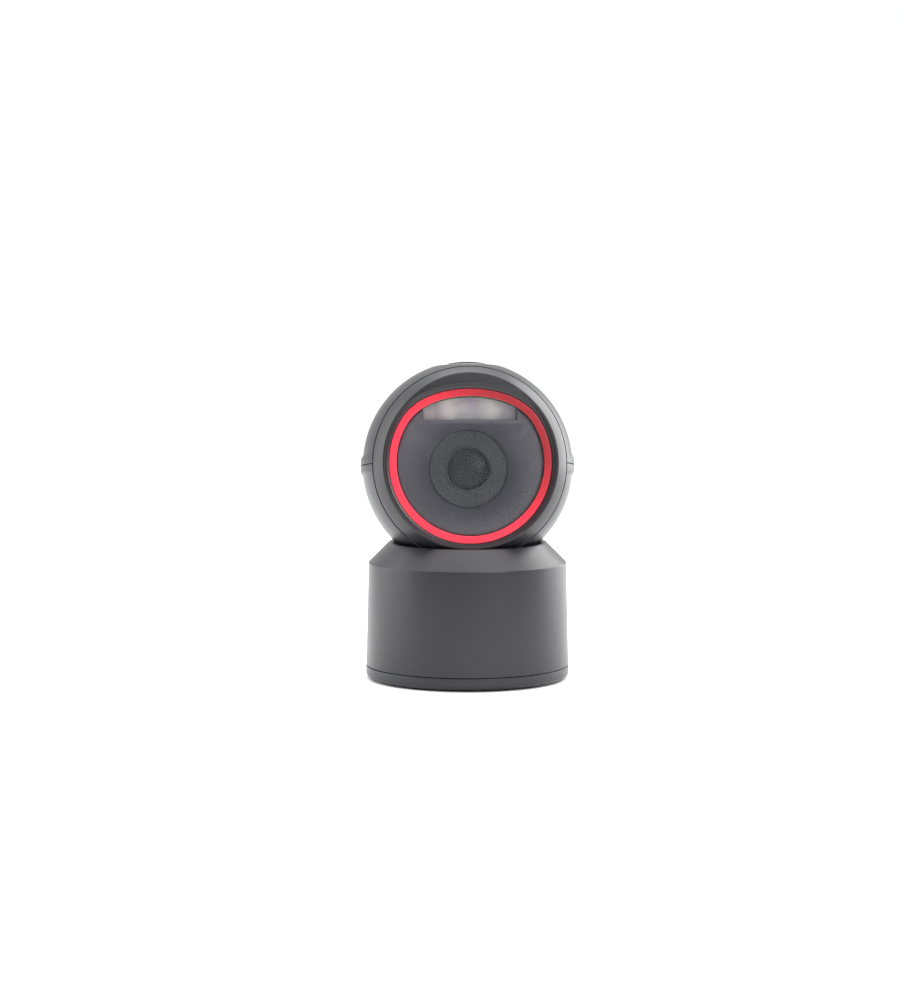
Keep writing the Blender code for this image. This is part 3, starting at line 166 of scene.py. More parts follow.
def absPolished():
    # the funnel's ABS from a polished tool: smooth, a little glossier, flow marks only
    made, tree, shader, where = newFinish("absPolished", "#525157", 0.4, IOR=1.53)
    cloud = noiseAt(where, 18.0, 2.0)
    tinted(shader, cloud, [(0.3, "#4e4d53"), (0.7, "#56555c")])
    polished(shader, noiseAt(where, 6.0), 0.38, 0.48)
    grained(shader, noiseAt(where, 3.5, 1.0), 0.01, 0.15)
    return made


def nylonBlack(name="nylonBlack", dark="#141415", light="#1d1d1f", rough=(0.42, 0.55)):
    # moulded glass-filled nylon: near black, dull, faint glass fibres in the skin
    made, tree, shader, where = newFinish(name, light, 0.5, IOR=1.53)
    stretch = addNode(tree, "ShaderNodeMapping", {"Vector": where, "Scale": (1.0, 3.0, 1.0)}).outputs["Vector"]
    fibre = noiseAt(stretch, 1.2, 4.0, 0.7)
    tinted(shader, fibre, [(0.35, dark), (0.7, light)])
    polished(shader, fibre, *rough)
    grained(shader, fibre, 0.004, 0.15)
    return made


def polycarbonateRed():
    # red light guide, lit from behind; its colour and glow are painted brighter at the lower left and deeper at
    # the upper right, as painted light and shade
    look = {"deep": "#8c1420", "bright": "#d02236", "glowLow": 0.1, "glowHigh": 0.45}
    fixed = {"IOR": 1.58, "Subsurface Weight": 0.25, "Subsurface Scale": 0.002}
    made, tree, shader, where = newFinish("polycarbonateRed", look["bright"], 0.28, **fixed)
    shader.inputs["Subsurface Radius"].default_value = (1.0, 0.2, 0.15)
    apart = addNode(tree, "ShaderNodeSeparateXYZ", {0: where}).outputs
    # painted light and shade: a mask that rises towards the lower left and brightens the red and its glow there,
    # leaving it deeper towards the upper right
    sweep = addNode(tree, "ShaderNodeMath", {0: apart["X"], 1: -0.8}, operation="MULTIPLY").outputs[0]
    inputs = {0: apart["Z"], 1: -0.7, 2: sweep}
    rise = addNode(tree, "ShaderNodeMath", inputs, operation="MULTIPLY_ADD").outputs[0]
    inputs = {"Value": rise, "From Min": -0.108, "From Max": -0.055}
    share = addNode(tree, "ShaderNodeMapRange", inputs, interpolation_type="SMOOTHSTEP").outputs["Result"]
    inputs = {0: share, 1: spreadOf(tree, noiseAt(where, 11.0), -0.1, 0.1)}
    paintedLightSide = addNode(tree, "ShaderNodeMath", inputs, operation="ADD").outputs[0]
    tinted(shader, paintedLightSide, [(0.0, look["deep"]), (1.0, look["bright"])])
    feed(shader, "Emission Color", blendOf(tree, paintedLightSide, [(0.0, "#e03040"), (1.0, "#ff4058")]))
    feed(shader, "Emission Strength", spreadOf(tree, paintedLightSide, look["glowLow"], look["glowHigh"]))
    grained(shader, noiseAt(where, 1.4), 0.01, 0.3)
    return made


def acrylicCast():
    # clear cast window, thin enough to see straight through, with the faintest grey
    made, tree, shader, where = newFinish("acrylicCast", "#5a5c62", 0.04, IOR=1.49, Alpha=0.12)
    haze = noiseAt(where, 30.0)
    polished(shader, haze, 0.03, 0.07)
    return made


def polycarbonateMilky():
    # diffuser over the white diodes: milky, faintly mauve and mottled, with painted light: two soft lighter spots
    # over the reflector cups and a faint painted glow
    fixed = {"IOR": 1.58, "Alpha": 0.9, "Subsurface Weight": 0.1, "Emission Strength": 0.02}
    made, tree, shader, where = newFinish("polycarbonateMilky", "#ece6ea", 0.4, **fixed)
    cloud = noiseAt(where, 7.0, 2.0)
    # painted light: the colour is lighter in two soft spots 9.6 mm either side of the middle, over the diodes
    across = addNode(tree, "ShaderNodeSeparateXYZ", {0: where}).outputs["X"]
    side = addNode(tree, "ShaderNodeMath", {0: across}, operation="ABSOLUTE").outputs[0]
    off = addNode(tree, "ShaderNodeMath", {0: side, 1: 0.0096}, operation="SUBTRACT").outputs[0]
    away = addNode(tree, "ShaderNodeMath", {0: off}, operation="ABSOLUTE").outputs[0]
    inputs = {"Value": away, "From Min": 0.006, "From Max": 0.0, "To Max": 0.45}
    cup = addNode(tree, "ShaderNodeMapRange", inputs, interpolation_type="SMOOTHSTEP").outputs["Result"]
    tint = addNode(tree, "ShaderNodeMath", {0: cloud, 1: cup}, operation="ADD").outputs[0]
    stops = [(0.3, "#b7afba"), (0.5, "#c3bbbf"), (0.75, "#d6cfce"), (1.0, "#ebe7e2")]
    milk = blendOf(tree, tint, stops)
    feed(shader, "Base Color", milk)
    # painted glow: the same colour feeds a faint emission, whose strength is set in the fixed values above
    feed(shader, "Emission Color", milk)
    polished(shader, cloud, 0.3, 0.5)
    grained(shader, noiseAt(where, 3.0), 0.05, 0.3)
    return made


def polycarbonateOpal():
    # status light guide: white, slightly see-through at its edges
    fixed = {"IOR": 1.58, "Subsurface Weight": 0.3, "Subsurface Scale": 0.002}
    made, tree, shader, where = newFinish("polycarbonateOpal", "#dcdde1", 0.25, **fixed)
    cloud = noiseAt(where, 12.0)
    tinted(shader, cloud, [(0.3, "#d3d5da"), (0.7, "#e2e3e6")])
    grained(shader, noiseAt(where, 1.6), 0.01, 0.3)
    return made


def glassCoated():
    # front lens behind a smoked filter: dark grey, with a painted reflection: a faint violet coating bloom painted
    # into the colour towards its edge, where the surface turns from the view
    fixed = {"IOR": 1.5, "Specular IOR Level": 0.15}
    made, tree, shader, where = newFinish("glassCoated", "#2c2c2f", 0.3, **fixed)
    # painted reflection: the colour turns violet as the surface turns away from the view
    edge = addNode(tree, "ShaderNodeLayerWeight", {"Blend": 0.3}).outputs["Facing"]
    tinted(shader, edge, [(0.0, "#2e2e30"), (0.6, "#333238"), (1.0, "#2c2f40")])
    polished(shader, noiseAt(where, 8.0), 0.26, 0.34)
    return made


def solderMask():
    # printed board: glass-epoxy weave about 0.5 mm under green mask, with copper runs beneath
    made, tree, shader, where = newFinish("solderMask", "#14562f", 0.35, IOR=1.5)
    run = addNode(
        tree, "ShaderNodeTexBrick",
        {"Vector": where, "Scale": 420.0, "Color1": colour("#155a31"), "Color2": colour("#1b6b3b"),
         "Mortar": colour("#0f4425"), "Mortar Size": 0.03},
    ).outputs["Color"]
    feed(shader, "Base Color", run)
    weave = addNode(tree, "ShaderNodeTexWave", {"Vector": where, "Scale": 1000 / 0.5 / 6.28, "Distortion": 1.0})
    grained(shader, weave.outputs["Fac"], 0.01, 0.4)
    polished(shader, noiseAt(where, 5.0), 0.3, 0.42)
    return made


def steelZincPlated():
    # bright zinc over steel: silvery with slight blue, cloudy patches from the plating
    made, tree, shader, where = newFinish("steelZincPlated", "#b9bcc0", 0.3, Metallic=1.0)
    cloud = noiseAt(where, 2.0, 4.0, 0.6)
    tinted(shader, cloud, [(0.3, "#a3a7ad"), (0.7, "#c6c8c9")])
    polished(shader, cloud, 0.22, 0.42)
    grained(shader, noiseAt(where, 0.4), 0.01, 0.3)
    return made


def aluminiumDieCast():
    # as cast: dull silver with a skin like fine orange peel
    made, tree, shader, where = newFinish("aluminiumDieCast", "#a9abad", 0.45, Metallic=1.0)
    skin = noiseAt(where, 1.1, 3.0)
    tinted(shader, skin, [(0.3, "#97999c"), (0.7, "#b4b5b6")])
    polished(shader, skin, 0.38, 0.55)
    grained(shader, skin, 0.05, 0.5)
    return made


def goldPlated():
    # thin gold on spring bronze: warm, bright, drawn lines along the wire
    made, tree, shader, where = newFinish("goldPlated", "#e2b455", 0.22, Metallic=1.0)
    drawn = addNode(tree, "ShaderNodeMapping", {"Vector": where, "Scale": (1.0, 0.08, 1.0)}).outputs["Vector"]
    line = noiseAt(drawn, 0.2, 2.0)
    tinted(shader, line, [(0.3, "#d6a543"), (0.7, "#efc66c")])
    polished(shader, line, 0.18, 0.3)
    return made


def rubberMoulded():
    # moulded nitrile rubber: dead black, matt, with a chalky bloom in patches
    made, tree, shader, where = newFinish("rubberMoulded", "#1b1b1c", 0.85, IOR=1.52)
    bloom = noiseAt(where, 14.0, 5.0, 0.65)
    tinted(shader, bloom, [(0.35, "#171718"), (0.7, "#232324")])
    polished(shader, bloom, 0.78, 0.92)
    grained(shader, noiseAt(where, 0.8, 3.0), 0.06, 0.5)
    return made


def acetalTurned():
    # natural acetal: waxy white, fine turning lines
    fixed = {"IOR": 1.48, "Subsurface Weight": 0.1, "Subsurface Scale": 0.001}
    made, tree, shader, where = newFinish("acetalTurned", "#e6e6e1", 0.38, **fixed)
    inputs = {"Vector": where, "Scale": 400.0}
    line = addNode(tree, "ShaderNodeTexWave", inputs, bands_direction="Z").outputs["Fac"]
    tinted(shader, noiseAt(where, 6.0), [(0.3, "#d8d8d2"), (0.7, "#e6e6e1")])
    grained(shader, line, 0.005, 0.3)
    return made


def reflectorMetallised():
    # vacuum-metallised cups: bright, a little wavy
    made, tree, shader, where = newFinish("reflectorMetallised", "#d9dadd", 0.16, Metallic=1.0)
    wave = noiseAt(where, 4.0, 2.0)
    tinted(shader, wave, [(0.3, "#c9cace"), (0.7, "#e6e6e8")])
    polished(shader, wave, 0.12, 0.22)
    grained(shader, wave, 0.05, 0.5)
    return made


def vinylExtruded():
    # extruded cable jacket: black, slightly sticky gloss
    made, tree, shader, where = newFinish("vinylExtruded", "#1f1f20", 0.5, IOR=1.53)
    skin = noiseAt(where, 1.5, 3.0)
    tinted(shader, skin, [(0.3, "#1a1a1b"), (0.7, "#262627")])
    grained(shader, skin, 0.02, 0.4)
    return made


def paintMatt():
    # pale studio sweep: flat white paint with a trace of roller stipple
    made, tree, shader, where = newFinish("paintMatt", "#f6f6f6", 0.9)
    stipple = noiseAt(where, 3.0, 1.0)
    tinted(shader, stipple, [(0.3, "#f9f9f9"), (0.7, "#fcfcfc")])
    return made


shellAbs = absSparkEroded()
capAbs = absSparkEroded("absFingerWorn", 0.25)
funnelAbs = absPolished()
blackNylon = nylonBlack()
hoodNylon = nylonBlack("nylonDarkGrey", "#343436", "#38383a", (0.5, 0.6))
redGuide = polycarbonateRed()
windowAcrylic = acrylicCast()
milkyPanel = polycarbonateMilky()
opalGuide = polycarbonateOpal()
lensGlass = glassCoated()
boardGreen = solderMask()
zincSteel = steelZincPlated()
castAluminium = aluminiumDieCast()
goldWire = goldPlated()
padRubber = rubberMoulded()
bushAcetal = acetalTurned()
cupMetal = reflectorMetallised()
leadVinyl = vinylExtruded()
stage("finishes made")


# ---- shapes, in millimetres
def rounded(corners, steps=5):
    # corners are (u, v), or (u, v, radius) where the corner is rounded
    found = []
    for before, corner, after in zip(corners[-1:] + corners[:-1], corners, corners[1:] + corners[:1]):
        point = Vector(corner[:2])
        if len(corner) < 3:
            found.append(tuple(point))
            continue
        back, ahead = Vector(before[:2]) - point, Vector(after[:2]) - point
        reach = min(corner[2] / math.tan(back.angle(ahead) / 2), 0.48 * back.length, 0.48 * ahead.length)
        start, end = point + back.normalized() * reach, point + ahead.normalized() * reach
        for i in range(steps + 1):
            t = i / steps
            found.append(tuple(start * (1 - t) ** 2 + point * 2 * t * (1 - t) + end * t * t))
    return found


def ballArc(radius, fromHeight, toHeight, steps=24):
    # (distance from the axis, height) up or down a ball's surface, ends included
    start, end = math.asin(fromHeight / radius), math.asin(toHeight / radius)
    turns = [start + (end - start) * i / steps for i in range(steps + 1)]
    return [(radius * math.cos(t), radius * math.sin(t)) for t in turns]


sharpAngle = math.radians(32)


def finished(name, mesh, place, finish):
    mesh.name = name
    mesh.transform(place)
    work = bmesh.new()
    work.from_mesh(mesh)
    bmesh.ops.remove_doubles(work, verts=work.verts, dist=2e-7)
    bmesh.ops.recalc_face_normals(work, faces=work.faces)
    work.to_mesh(mesh)
    work.free()
    mesh.shade_smooth()
    mesh.set_sharp_from_angle(angle=sharpAngle)
    mesh.materials.clear()
    mesh.materials.append(finish)
    made = bpy.data.objects.new(name, mesh)
    scene.collection.objects.link(made)
    return made


def lofted(name, loops, place, finish, closed=False):
    count = len(loops[0])
    faces = []
    for i in range(len(loops) if closed else len(loops) - 1):
        a, b = i * count, (i + 1) % len(loops) * count
        faces += [(a + j, a + (j + 1) % count, b + (j + 1) % count, b + j) for j in range(count)]
    if not closed:
        faces += [tuple(range(count)), tuple(reversed(range(len(loops) * count - count, len(loops) * count)))]
    mesh = bpy.data.meshes.new(name)
    mesh.from_pydata([point for loop in loops for point in loop], [], faces)
    return finished(name, mesh, place, finish)


def plainMesh(holder):
    bpy.context.view_layer.update()
    return bpy.data.meshes.new_from_object(holder.evaluated_get(bpy.context.evaluated_depsgraph_get()))


def newTree(name, **sizes):
    tree = bpy.data.node_groups.new(name, "GeometryNodeTree")
    kinds = {int: "NodeSocketInt", float: "NodeSocketFloat", tuple: "NodeSocketVector"}
    tree.interface.new_socket("Geometry", in_out="INPUT", socket_type="NodeSocketGeometry")
    for label, value in sizes.items():
        socket = tree.interface.new_socket(label, in_out="INPUT", socket_type=kinds[type(value)])
        socket.default_value = value
    tree.interface.new_socket("Material", in_out="INPUT", socket_type="NodeSocketMaterial")
    tree.interface.new_socket("Geometry", in_out="OUTPUT", socket_type="NodeSocketGeometry")
    return tree, addNode(tree, "NodeGroupInput").outputs


def endTree(tree, shape, finish):
    whole = addNode(tree, "GeometryNodeRealizeInstances", {"Geometry": shape}).outputs[0]
    last = addNode(tree, "GeometryNodeSetMaterial", {"Geometry": whole, "Material": finish}).outputs[0]
    addNode(tree, "NodeGroupOutput", {0: last})


def grown(name, tree, mesh, place, finish, **sizes):
    # runs a tree on a starting mesh, whose own points are in millimetres
    holder = bpy.data.objects.new(name + "Rule", mesh)
    scene.collection.objects.link(holder)
    rule = holder.modifiers.new("rule", "NODES")
    rule.node_group = tree
    named = {item.name: item.identifier for item in tree.interface.items_tree if item.in_out == "INPUT"}
    for label, value in {**sizes, "Material": finish}.items():
        rule[named[label]] = value
    made = plainMesh(holder)
    holder.modifiers.remove(rule)
    bpy.data.objects.remove(holder)
    return finished(name, made, place, finish)


latheCircle = 20.0


def makeTurnedTree():
    # turns a closed outline about the upright axis; the outline is drawn about a circle of a fixed radius
    tree, given = newTree("turnedOnLathe", Segments=160, Circle=latheCircle)
    outline = addNode(tree, "GeometryNodeMeshToCurve", {"Mesh": given["Geometry"]}).outputs[0]
    path = addNode(
        tree, "GeometryNodeCurvePrimitiveCircle", {"Resolution": given["Segments"], "Radius": given["Circle"]}
    ).outputs["Curve"]
    skin = addNode(tree, "GeometryNodeCurveToMesh", {"Curve": path, "Profile Curve": outline}).outputs["Mesh"]
    joined = addNode(tree, "GeometryNodeMergeByDistance", {"Geometry": skin, "Distance": 0.0005}).outputs[0]
    endTree(tree, joined, given["Material"])
    return tree


turnedTree = makeTurnedTree()


def turned(name, outline, place, finish, segments=160):
    # outline is closed, as (distance from the axis, height)
    mesh = bpy.data.meshes.new(name)
    points = [(r - latheCircle, -h, 0) for r, h in outline]
    mesh.from_pydata(points, [(i, (i + 1) % len(points)) for i in range(len(points))], [])
    return grown(name, turnedTree, mesh, place, finish, Segments=segments, Circle=latheCircle)


def changed(piece, other, operation="DIFFERENCE"):
    # cuts other from piece, or joins it on, and uses it up
    change = piece.modifiers.new("change", "BOOLEAN")
    change.operation = operation
    change.solver = "MANIFOLD"
    change.object = other
    old, piece.data = piece.data, plainMesh(piece)
    piece.modifiers.remove(change)
    finish = old.materials[0]
    spent = other.data
    bpy.data.objects.remove(other)
    for mesh in (old, spent):
        bpy.data.meshes.remove(mesh)
    piece.data.materials.clear()
    piece.data.materials.append(finish)
    piece.data.shade_smooth()
    piece.data.set_sharp_from_angle(angle=sharpAngle)
    return piece


def roundedBox(name, low, high, place, finish, radius=0.6, steps=4, axis="Y"):
    # a block whose four edges along one axis are rounded, and whose ends are slightly softened
    order = {"X": (1, 2, 0), "Y": (0, 2, 1), "Z": (0, 1, 2)}[axis]
    u0, v0, w0 = (low[i] for i in order)
    u1, v1, w1 = (high[i] for i in order)
    soft = min(0.15, radius * 0.4)

    def ring(inset, along):
        r = max(radius - inset, 0.01)
        corners = [(u0 + inset, v0 + inset, r), (u1 - inset, v0 + inset, r), (u1 - inset, v1 - inset, r)]
        points = []
        for u, v in rounded([*corners, (u0 + inset, v1 - inset, r)], steps):
            point = [0.0, 0.0, 0.0]
            for i, value in zip(order, (u, v, along)):
                point[i] = value
            points.append(tuple(point))
        return points

    loops = [ring(soft, w0), ring(0.0, w0 + soft), ring(0.0, w1 - soft), ring(soft, w1)]
    return lofted(name, loops, place, finish)


def at(x, y, z):
    return Matrix.Translation((x, y, z))


def show(piece, body, slot, *nodes):
    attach(piece, body)
    if nodes:
        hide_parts(*nodes)
    return piece


# ---- screws, by one rule
def makeScrewTree():
    # pan head with a cross recess on every starting point, its shank along -Z
    tree, given = newTree(
        "crossHeadScrew", Head=2.6, Height=1.1, Shank=1.4, Length=11.0, Recess=1.6, Turn=(0.0, 0.0, 0.0)
    )

    def scaled(value, factor, extra=0.0):
        inputs = {0: value, 1: factor, 2: extra}
        return addNode(tree, "ShaderNodeMath", inputs, operation="MULTIPLY_ADD").outputs[0]

    def tube(top, bottom, depth, vertices=40):
        inputs = {"Vertices": vertices, "Radius Top": top, "Radius Bottom": bottom, "Depth": depth}
        return addNode(tree, "GeometryNodeMeshCone", inputs).outputs["Mesh"]

    def lifted(shape, height):
        offset = addNode(tree, "ShaderNodeCombineXYZ", {"Z": height}).outputs[0]
        return addNode(tree, "GeometryNodeTransform", {"Geometry": shape, "Translation": offset}).outputs[0]

    low = tube(given["Head"], given["Head"], scaled(given["Height"], 0.45))
    crown = tube(scaled(given["Head"], 0.72), given["Head"], scaled(given["Height"], 0.55))
    crown = lifted(crown, scaled(given["Height"], 0.45))
    shank = lifted(tube(given["Shank"], given["Shank"], given["Length"]), scaled(given["Length"], -1.0, 0.02))
    size = addNode(
        tree, "ShaderNodeCombineXYZ", {0: given["Recess"], 1: scaled(given["Recess"], 0.24), 2: given["Height"]}
    ).outputs[0]
    bar = addNode(tree, "GeometryNodeMeshCube", {"Size": size}).outputs["Mesh"]
    inputs = {"Geometry": bar, "Rotation": (0, 0, math.pi / 2)}
    cross = addNode(tree, "GeometryNodeTransform", inputs).outputs[0]
    body = addNode(tree, "GeometryNodeMeshBoolean", operation="UNION", solver="EXACT")
    for part in (low, crown, shank):
        tree.links.new(part, body.inputs["Mesh 2"])
    recess = addNode(tree, "GeometryNodeMeshBoolean", operation="UNION", solver="EXACT")
    for part in (bar, cross):
        tree.links.new(part, recess.inputs["Mesh 2"])
    sunk = lifted(recess.outputs[0], scaled(given["Height"], 0.9))
    cut = addNode(
        tree, "GeometryNodeMeshBoolean", {"Mesh 1": body.outputs[0], "Mesh 2": sunk},
        operation="DIFFERENCE", solver="EXACT",
    ).outputs[0]
    turn = addNode(tree, "FunctionNodeEulerToRotation", {0: given["Turn"]}).outputs[0]
    placed = addNode(
        tree, "GeometryNodeInstanceOnPoints", {"Points": given["Geometry"], "Instance": cut, "Rotation": turn}
    ).outputs[0]
    endTree(tree, placed, given["Material"])
    return tree


screwTree = makeScrewTree()


def screws(name, points, place, **sizes):
    mesh = bpy.data.meshes.new(name)
    mesh.from_pydata(points, [], [])
    return grown(name, screwTree, mesh, place, zincSteel, **sizes)


# ---- base
baseShape = {
    "foot": 46.45, "shoulder": 45.3, "shoulderZ": 53.5, "rimOuter": 35.95, "rimZ": 62.85,
    "bowl": 50.2, "bowlEdge": 33.6, "wall": 2.5, "well": 17.8,
    "deckTop": ballCentre.z / mm - 55.4, "deckLow": ballCentre.z / mm - 58.2, "hole": 10.3,
    "seamZ": 6.42, "screwCircle": 38.0, "segments": 200,
}


def bowlArc(radius, fromCircle, toCircle, steps):
    # (distance from the axis, height) down a bowl about the ball's centre
    start, end = math.asin(fromCircle / radius), math.asin(toCircle / radius)
    turns = [start + (end - start) * i / steps for i in range(steps + 1)]
    return [(radius * math.sin(t), ballCentre.z / mm - radius * math.cos(t)) for t in turns]


baseScrewPlaces = [
    (baseShape["screwCircle"] * math.cos(t), baseShape["screwCircle"] * math.sin(t))
    for t in (math.radians(45 + 90 * i) for i in range(4))
]


def makeBaseShell():
    s = baseShape
    under = s["well"] + s["wall"]
    outline = rounded(
        [
            (s["foot"], s["seamZ"], 0.2), (s["shoulder"], s["shoulderZ"], 0.7),
            (s["rimOuter"], s["rimZ"], 1.4), (s["bowlEdge"], s["rimZ"], 1.3),
            *bowlArc(s["bowl"], s["bowlEdge"], s["well"], 20), (s["well"], s["deckTop"], 0.3),
            (s["hole"], s["deckTop"], 0.3), (s["hole"], s["deckLow"]), (under, s["deckLow"]),
            *bowlArc(s["bowl"] + s["wall"], under, s["bowlEdge"] - 1.0, 8),
            (s["shoulder"] - s["wall"], s["shoulderZ"] - 1.3, 0.8),
            (s["foot"] - s["wall"], s["seamZ"]),
        ]
    )
    shell = turned("baseShell", outline, standPlace, shellAbs, s["segments"])
    floor = s["deckTop"]
    low, high = (-6.9, 16.3, floor - 1), (6.9, 18.8, floor + 2.6)
    changed(shell, roundedBox("lug", low, high, standPlace, shellAbs, 0.5, axis="Z"), "UNION")
    for x, y in baseScrewPlaces:
        post = [(0, 56.0), (0, 16.0), (1.6, 16.0), (1.6, 4.0), (3.2, 4.0), (3.2, 56.0)]
        changed(shell, turned("post", post, standPlace @ at(x, y, 0), shellAbs, 24), "UNION")
    mouth = roundedBox("mouth", (-8.2, 37.5, 13.9), (8.2, 52.0, 28.2), standPlace, shellAbs, 1.2)
    changed(shell, mouth)
    return show(shell, "base", "shell_plastic", "base_shell")


def makeBasePlate():
    outline = rounded(
        [
            (0, 2.1), (34.3, 2.1, 0.2), (34.3, 0.8, 0.35), (46.5, 0.8, 2.9), (46.5, 6.1, 0.2),
            (43.5, 6.1), (43.5, 8.1, 0.3), (42.1, 8.1, 0.3), (42.1, 3.7), (0, 3.7),
        ],
        8,
    )
    plate = turned("basePlate", outline, standPlace, shellAbs, baseShape["segments"])
    for x, y in baseScrewPlaces:
        well = [(0, 0), (3.4, 0), (3.4, 0.9), (3.0, 1.2), (3.0, 2.3), (1.75, 2.3), (1.75, 5.0), (0, 5.0)]
        changed(plate, turned("well", well, standPlace @ at(x, y, 0), shellAbs, 48))
    for side in (-1, 1):
        post = [(0, 6.0), (0, 3.2), (2.8, 3.2), (2.8, 12.1), (1.2, 12.1), (1.2, 6.0)]
        changed(plate, turned("standoff", post, standPlace @ at(side * 10, -10, 0), shellAbs, 24), "UNION")
    return show(plate, "base", "shell_plastic", "base_plate")


def makeFootPad():
    grooves = {"radii": (30.5, 23.0, 15.5, 8.0), "half": 0.7, "depth": 0.45}
    corners = [(0, 1.8), (0, 0)]
    for radius in reversed(grooves["radii"]):
        half, depth = grooves["half"], grooves["depth"]
        corners += [
            (radius - half, 0, 0.2), (radius - half * 0.6, depth, 0.15),
            (radius + half * 0.6, depth, 0.15), (radius + half, 0, 0.2),
        ]
    corners += [(34.0, 0, 0.4), (34.0, 1.8, 0.2)]
    pad = turned("footPad", rounded(corners, 3), standPlace, padRubber, baseShape["segments"])
    return show(pad, "base", "rubber", "foot_pad")


def makeBaseScrews():
    points = [(x, y, 2.15) for x, y in baseScrewPlaces]
    made = screws(
        "baseScrews", points, standPlace, Head=2.6, Height=1.1, Shank=1.4, Length=11.0, Recess=3.0,
        Turn=(math.pi, 0.0, 0.3),
    )
    return show(made, "base", "steel", *[f"base_screw_{i}" for i in range(1, 5)])


socket = {
    "half": 7.8, "face": 45.1, "depth": 16.4, "low": 14.3, "high": 27.5,
    "mouthHalf": 5.9, "mouthLow": 16.3, "mouthHigh": 24.9, "mouthDepth": 12.5,
}


def makeSocket():
    s = socket
    body = roundedBox(
        "cableSocket", (-s["half"], s["face"] - s["depth"], s["low"]), (s["half"], s["face"], s["high"]),
        standPlace, blackNylon, 0.7,
    )
    start = s["face"] - s["mouthDepth"]
    low, high = (-s["mouthHalf"], start, s["mouthLow"]), (s["mouthHalf"], s["face"] + 2, s["mouthHigh"])
    changed(body, roundedBox("room", low, high, standPlace, blackNylon, 0.25))
    latch = roundedBox(
        "latch", (-3.1, start + 4, s["mouthHigh"] - 0.5), (3.1, s["face"] + 2, s["mouthHigh"] + 1.7),
        standPlace, blackNylon, 0.3,
    )
    changed(body, latch)
    # a small bevel round the mouth, so that a plug finds its way in
    flare = lofted(
        "flare",
        [
            [
                (x * (s["mouthHalf"] + grow), y, z)
                for x, z in (
                    (-1, s["mouthLow"] - grow), (1, s["mouthLow"] - grow),
                    (1, s["mouthHigh"] + grow), (-1, s["mouthHigh"] + grow),
                )
            ]
            for y, grow in ((s["face"] - 0.5, 0.02), (s["face"] + 0.5, 0.85))
        ],
        standPlace, blackNylon,
    )
    changed(body, flare)
    return show(body, "base", "dark_plastic", "cable_socket")


def makeContactTree():
    # bent spring wires side by side, each swept along one path
    tree, given = newTree("contactComb", Count=10, Pitch=1.02, Radius=0.22)
    bend = addNode(tree, "GeometryNodeMeshToCurve", {"Mesh": given["Geometry"]}).outputs[0]
    inputs = {"Resolution": 10, "Radius": given["Radius"]}
    ring = addNode(tree, "GeometryNodeCurvePrimitiveCircle", inputs).outputs[0]
    inputs = {"Curve": bend, "Profile Curve": ring, "Fill Caps": True}
    wire = addNode(tree, "GeometryNodeCurveToMesh", inputs).outputs[0]
    step = addNode(tree, "ShaderNodeCombineXYZ", {0: given["Pitch"]}).outputs[0]
    row = addNode(tree, "GeometryNodeMeshLine", {"Count": given["Count"], "Offset": step}).outputs[0]
    placed = addNode(tree, "GeometryNodeInstanceOnPoints", {"Points": row, "Instance": wire}).outputs[0]
    endTree(tree, placed, given["Material"])
    return tree


contacts = {"pitch": 1.02, "count": 10, "radius": 0.2, "back": 32.9, "tip": 41.0, "floor": 16.85}


def makeContacts():
    pitch, count, back, tip = (contacts[key] for key in ("pitch", "count", "back", "tip"))
    x = -pitch * (count - 1) / 2
    # from the rear wall forwards along the floor, then bent up and back like a modular jack's wire
    bend = [
        (back, contacts["floor"]), (tip - 0.8, contacts["floor"]), (tip - 0.3, 16.95), (tip - 0.1, 17.2),
        (tip - 0.3, 17.45), (tip - 4.0, 18.7), (back + 1.2, 20.0),
    ]
    path = [(x, y, z) for y, z in bend]
    mesh = bpy.data.meshes.new("contacts")
    mesh.from_pydata(path, [(i, i + 1) for i in range(len(path) - 1)], [])
    sizes = {"Count": count, "Pitch": pitch, "Radius": contacts["radius"]}
    made = grown("socketContacts", makeContactTree(), mesh, standPlace, goldWire, **sizes)
    return show(made, "base", "gold_contact", "socket_contacts")


makeBaseShell()
makeBasePlate()
makeFootPad()
makeBaseScrews()
makeSocket()
makeContacts()
stage("base made")


# ---- head
screwWells = [(-24, 27), (24, 27)]
wellSeat = 20.0


def bandOutline(sign):
    # raised band beside the joint of the two rear shells, as (distance, height), from the joint outwards
    edge = ball["bandHalf"] + 0.8
    return [
        (ball["radius"] + ball["bandProud"], sign * ball["seamGap"] / 2, 0.25),
        (ball["radius"] + ball["bandProud"] - 0.15, sign * (ball["bandHalf"] - 0.9), 0.6),
        (math.sqrt(ball["radius"] ** 2 - edge**2), sign * edge, 0.5),
    ]


def fadeBand(shell):
    # the raised band sinks back into the ball where it reaches the bezel
    toHead = headPlace.inverted()
    for vertex in shell.data.vertices:
        p = toHead @ vertex.co
        reach = p.length
        if abs(p.z) > ball["bandHalf"] + 0.5 or reach < ball["radius"] + 0.02:
            continue
        share = min(max((p.y - ball["seamY"]) / 14.0, 0.0), 1.0)
        vertex.co = headPlace @ (p * ((ball["radius"] + (reach - ball["radius"]) * share) / reach))


def screwPost(x, y, radius, sign, sides=32):
    reach = ball["inside"] + 0.8
    turns = [2 * math.pi * i / sides for i in range(sides)]
    ring = [(x + radius * math.cos(t), y + radius * math.sin(t)) for t in turns]
    near = [(u, v, sign * ball["seamGap"] / 2) for u, v in ring]
    far = [(u, v, sign * math.sqrt(reach**2 - u * u - v * v)) for u, v in ring]
    return lofted("post", [near, far], headPlace, shellAbs)


def frontCutter():
    far = ball["radius"] * 1.5
    low, high = (-far, -far, -far), (far, ball["seamY"] + ball["reveal"], far)
    return roundedBox("front", low, high, headPlace, shellAbs, 0.1, 1)


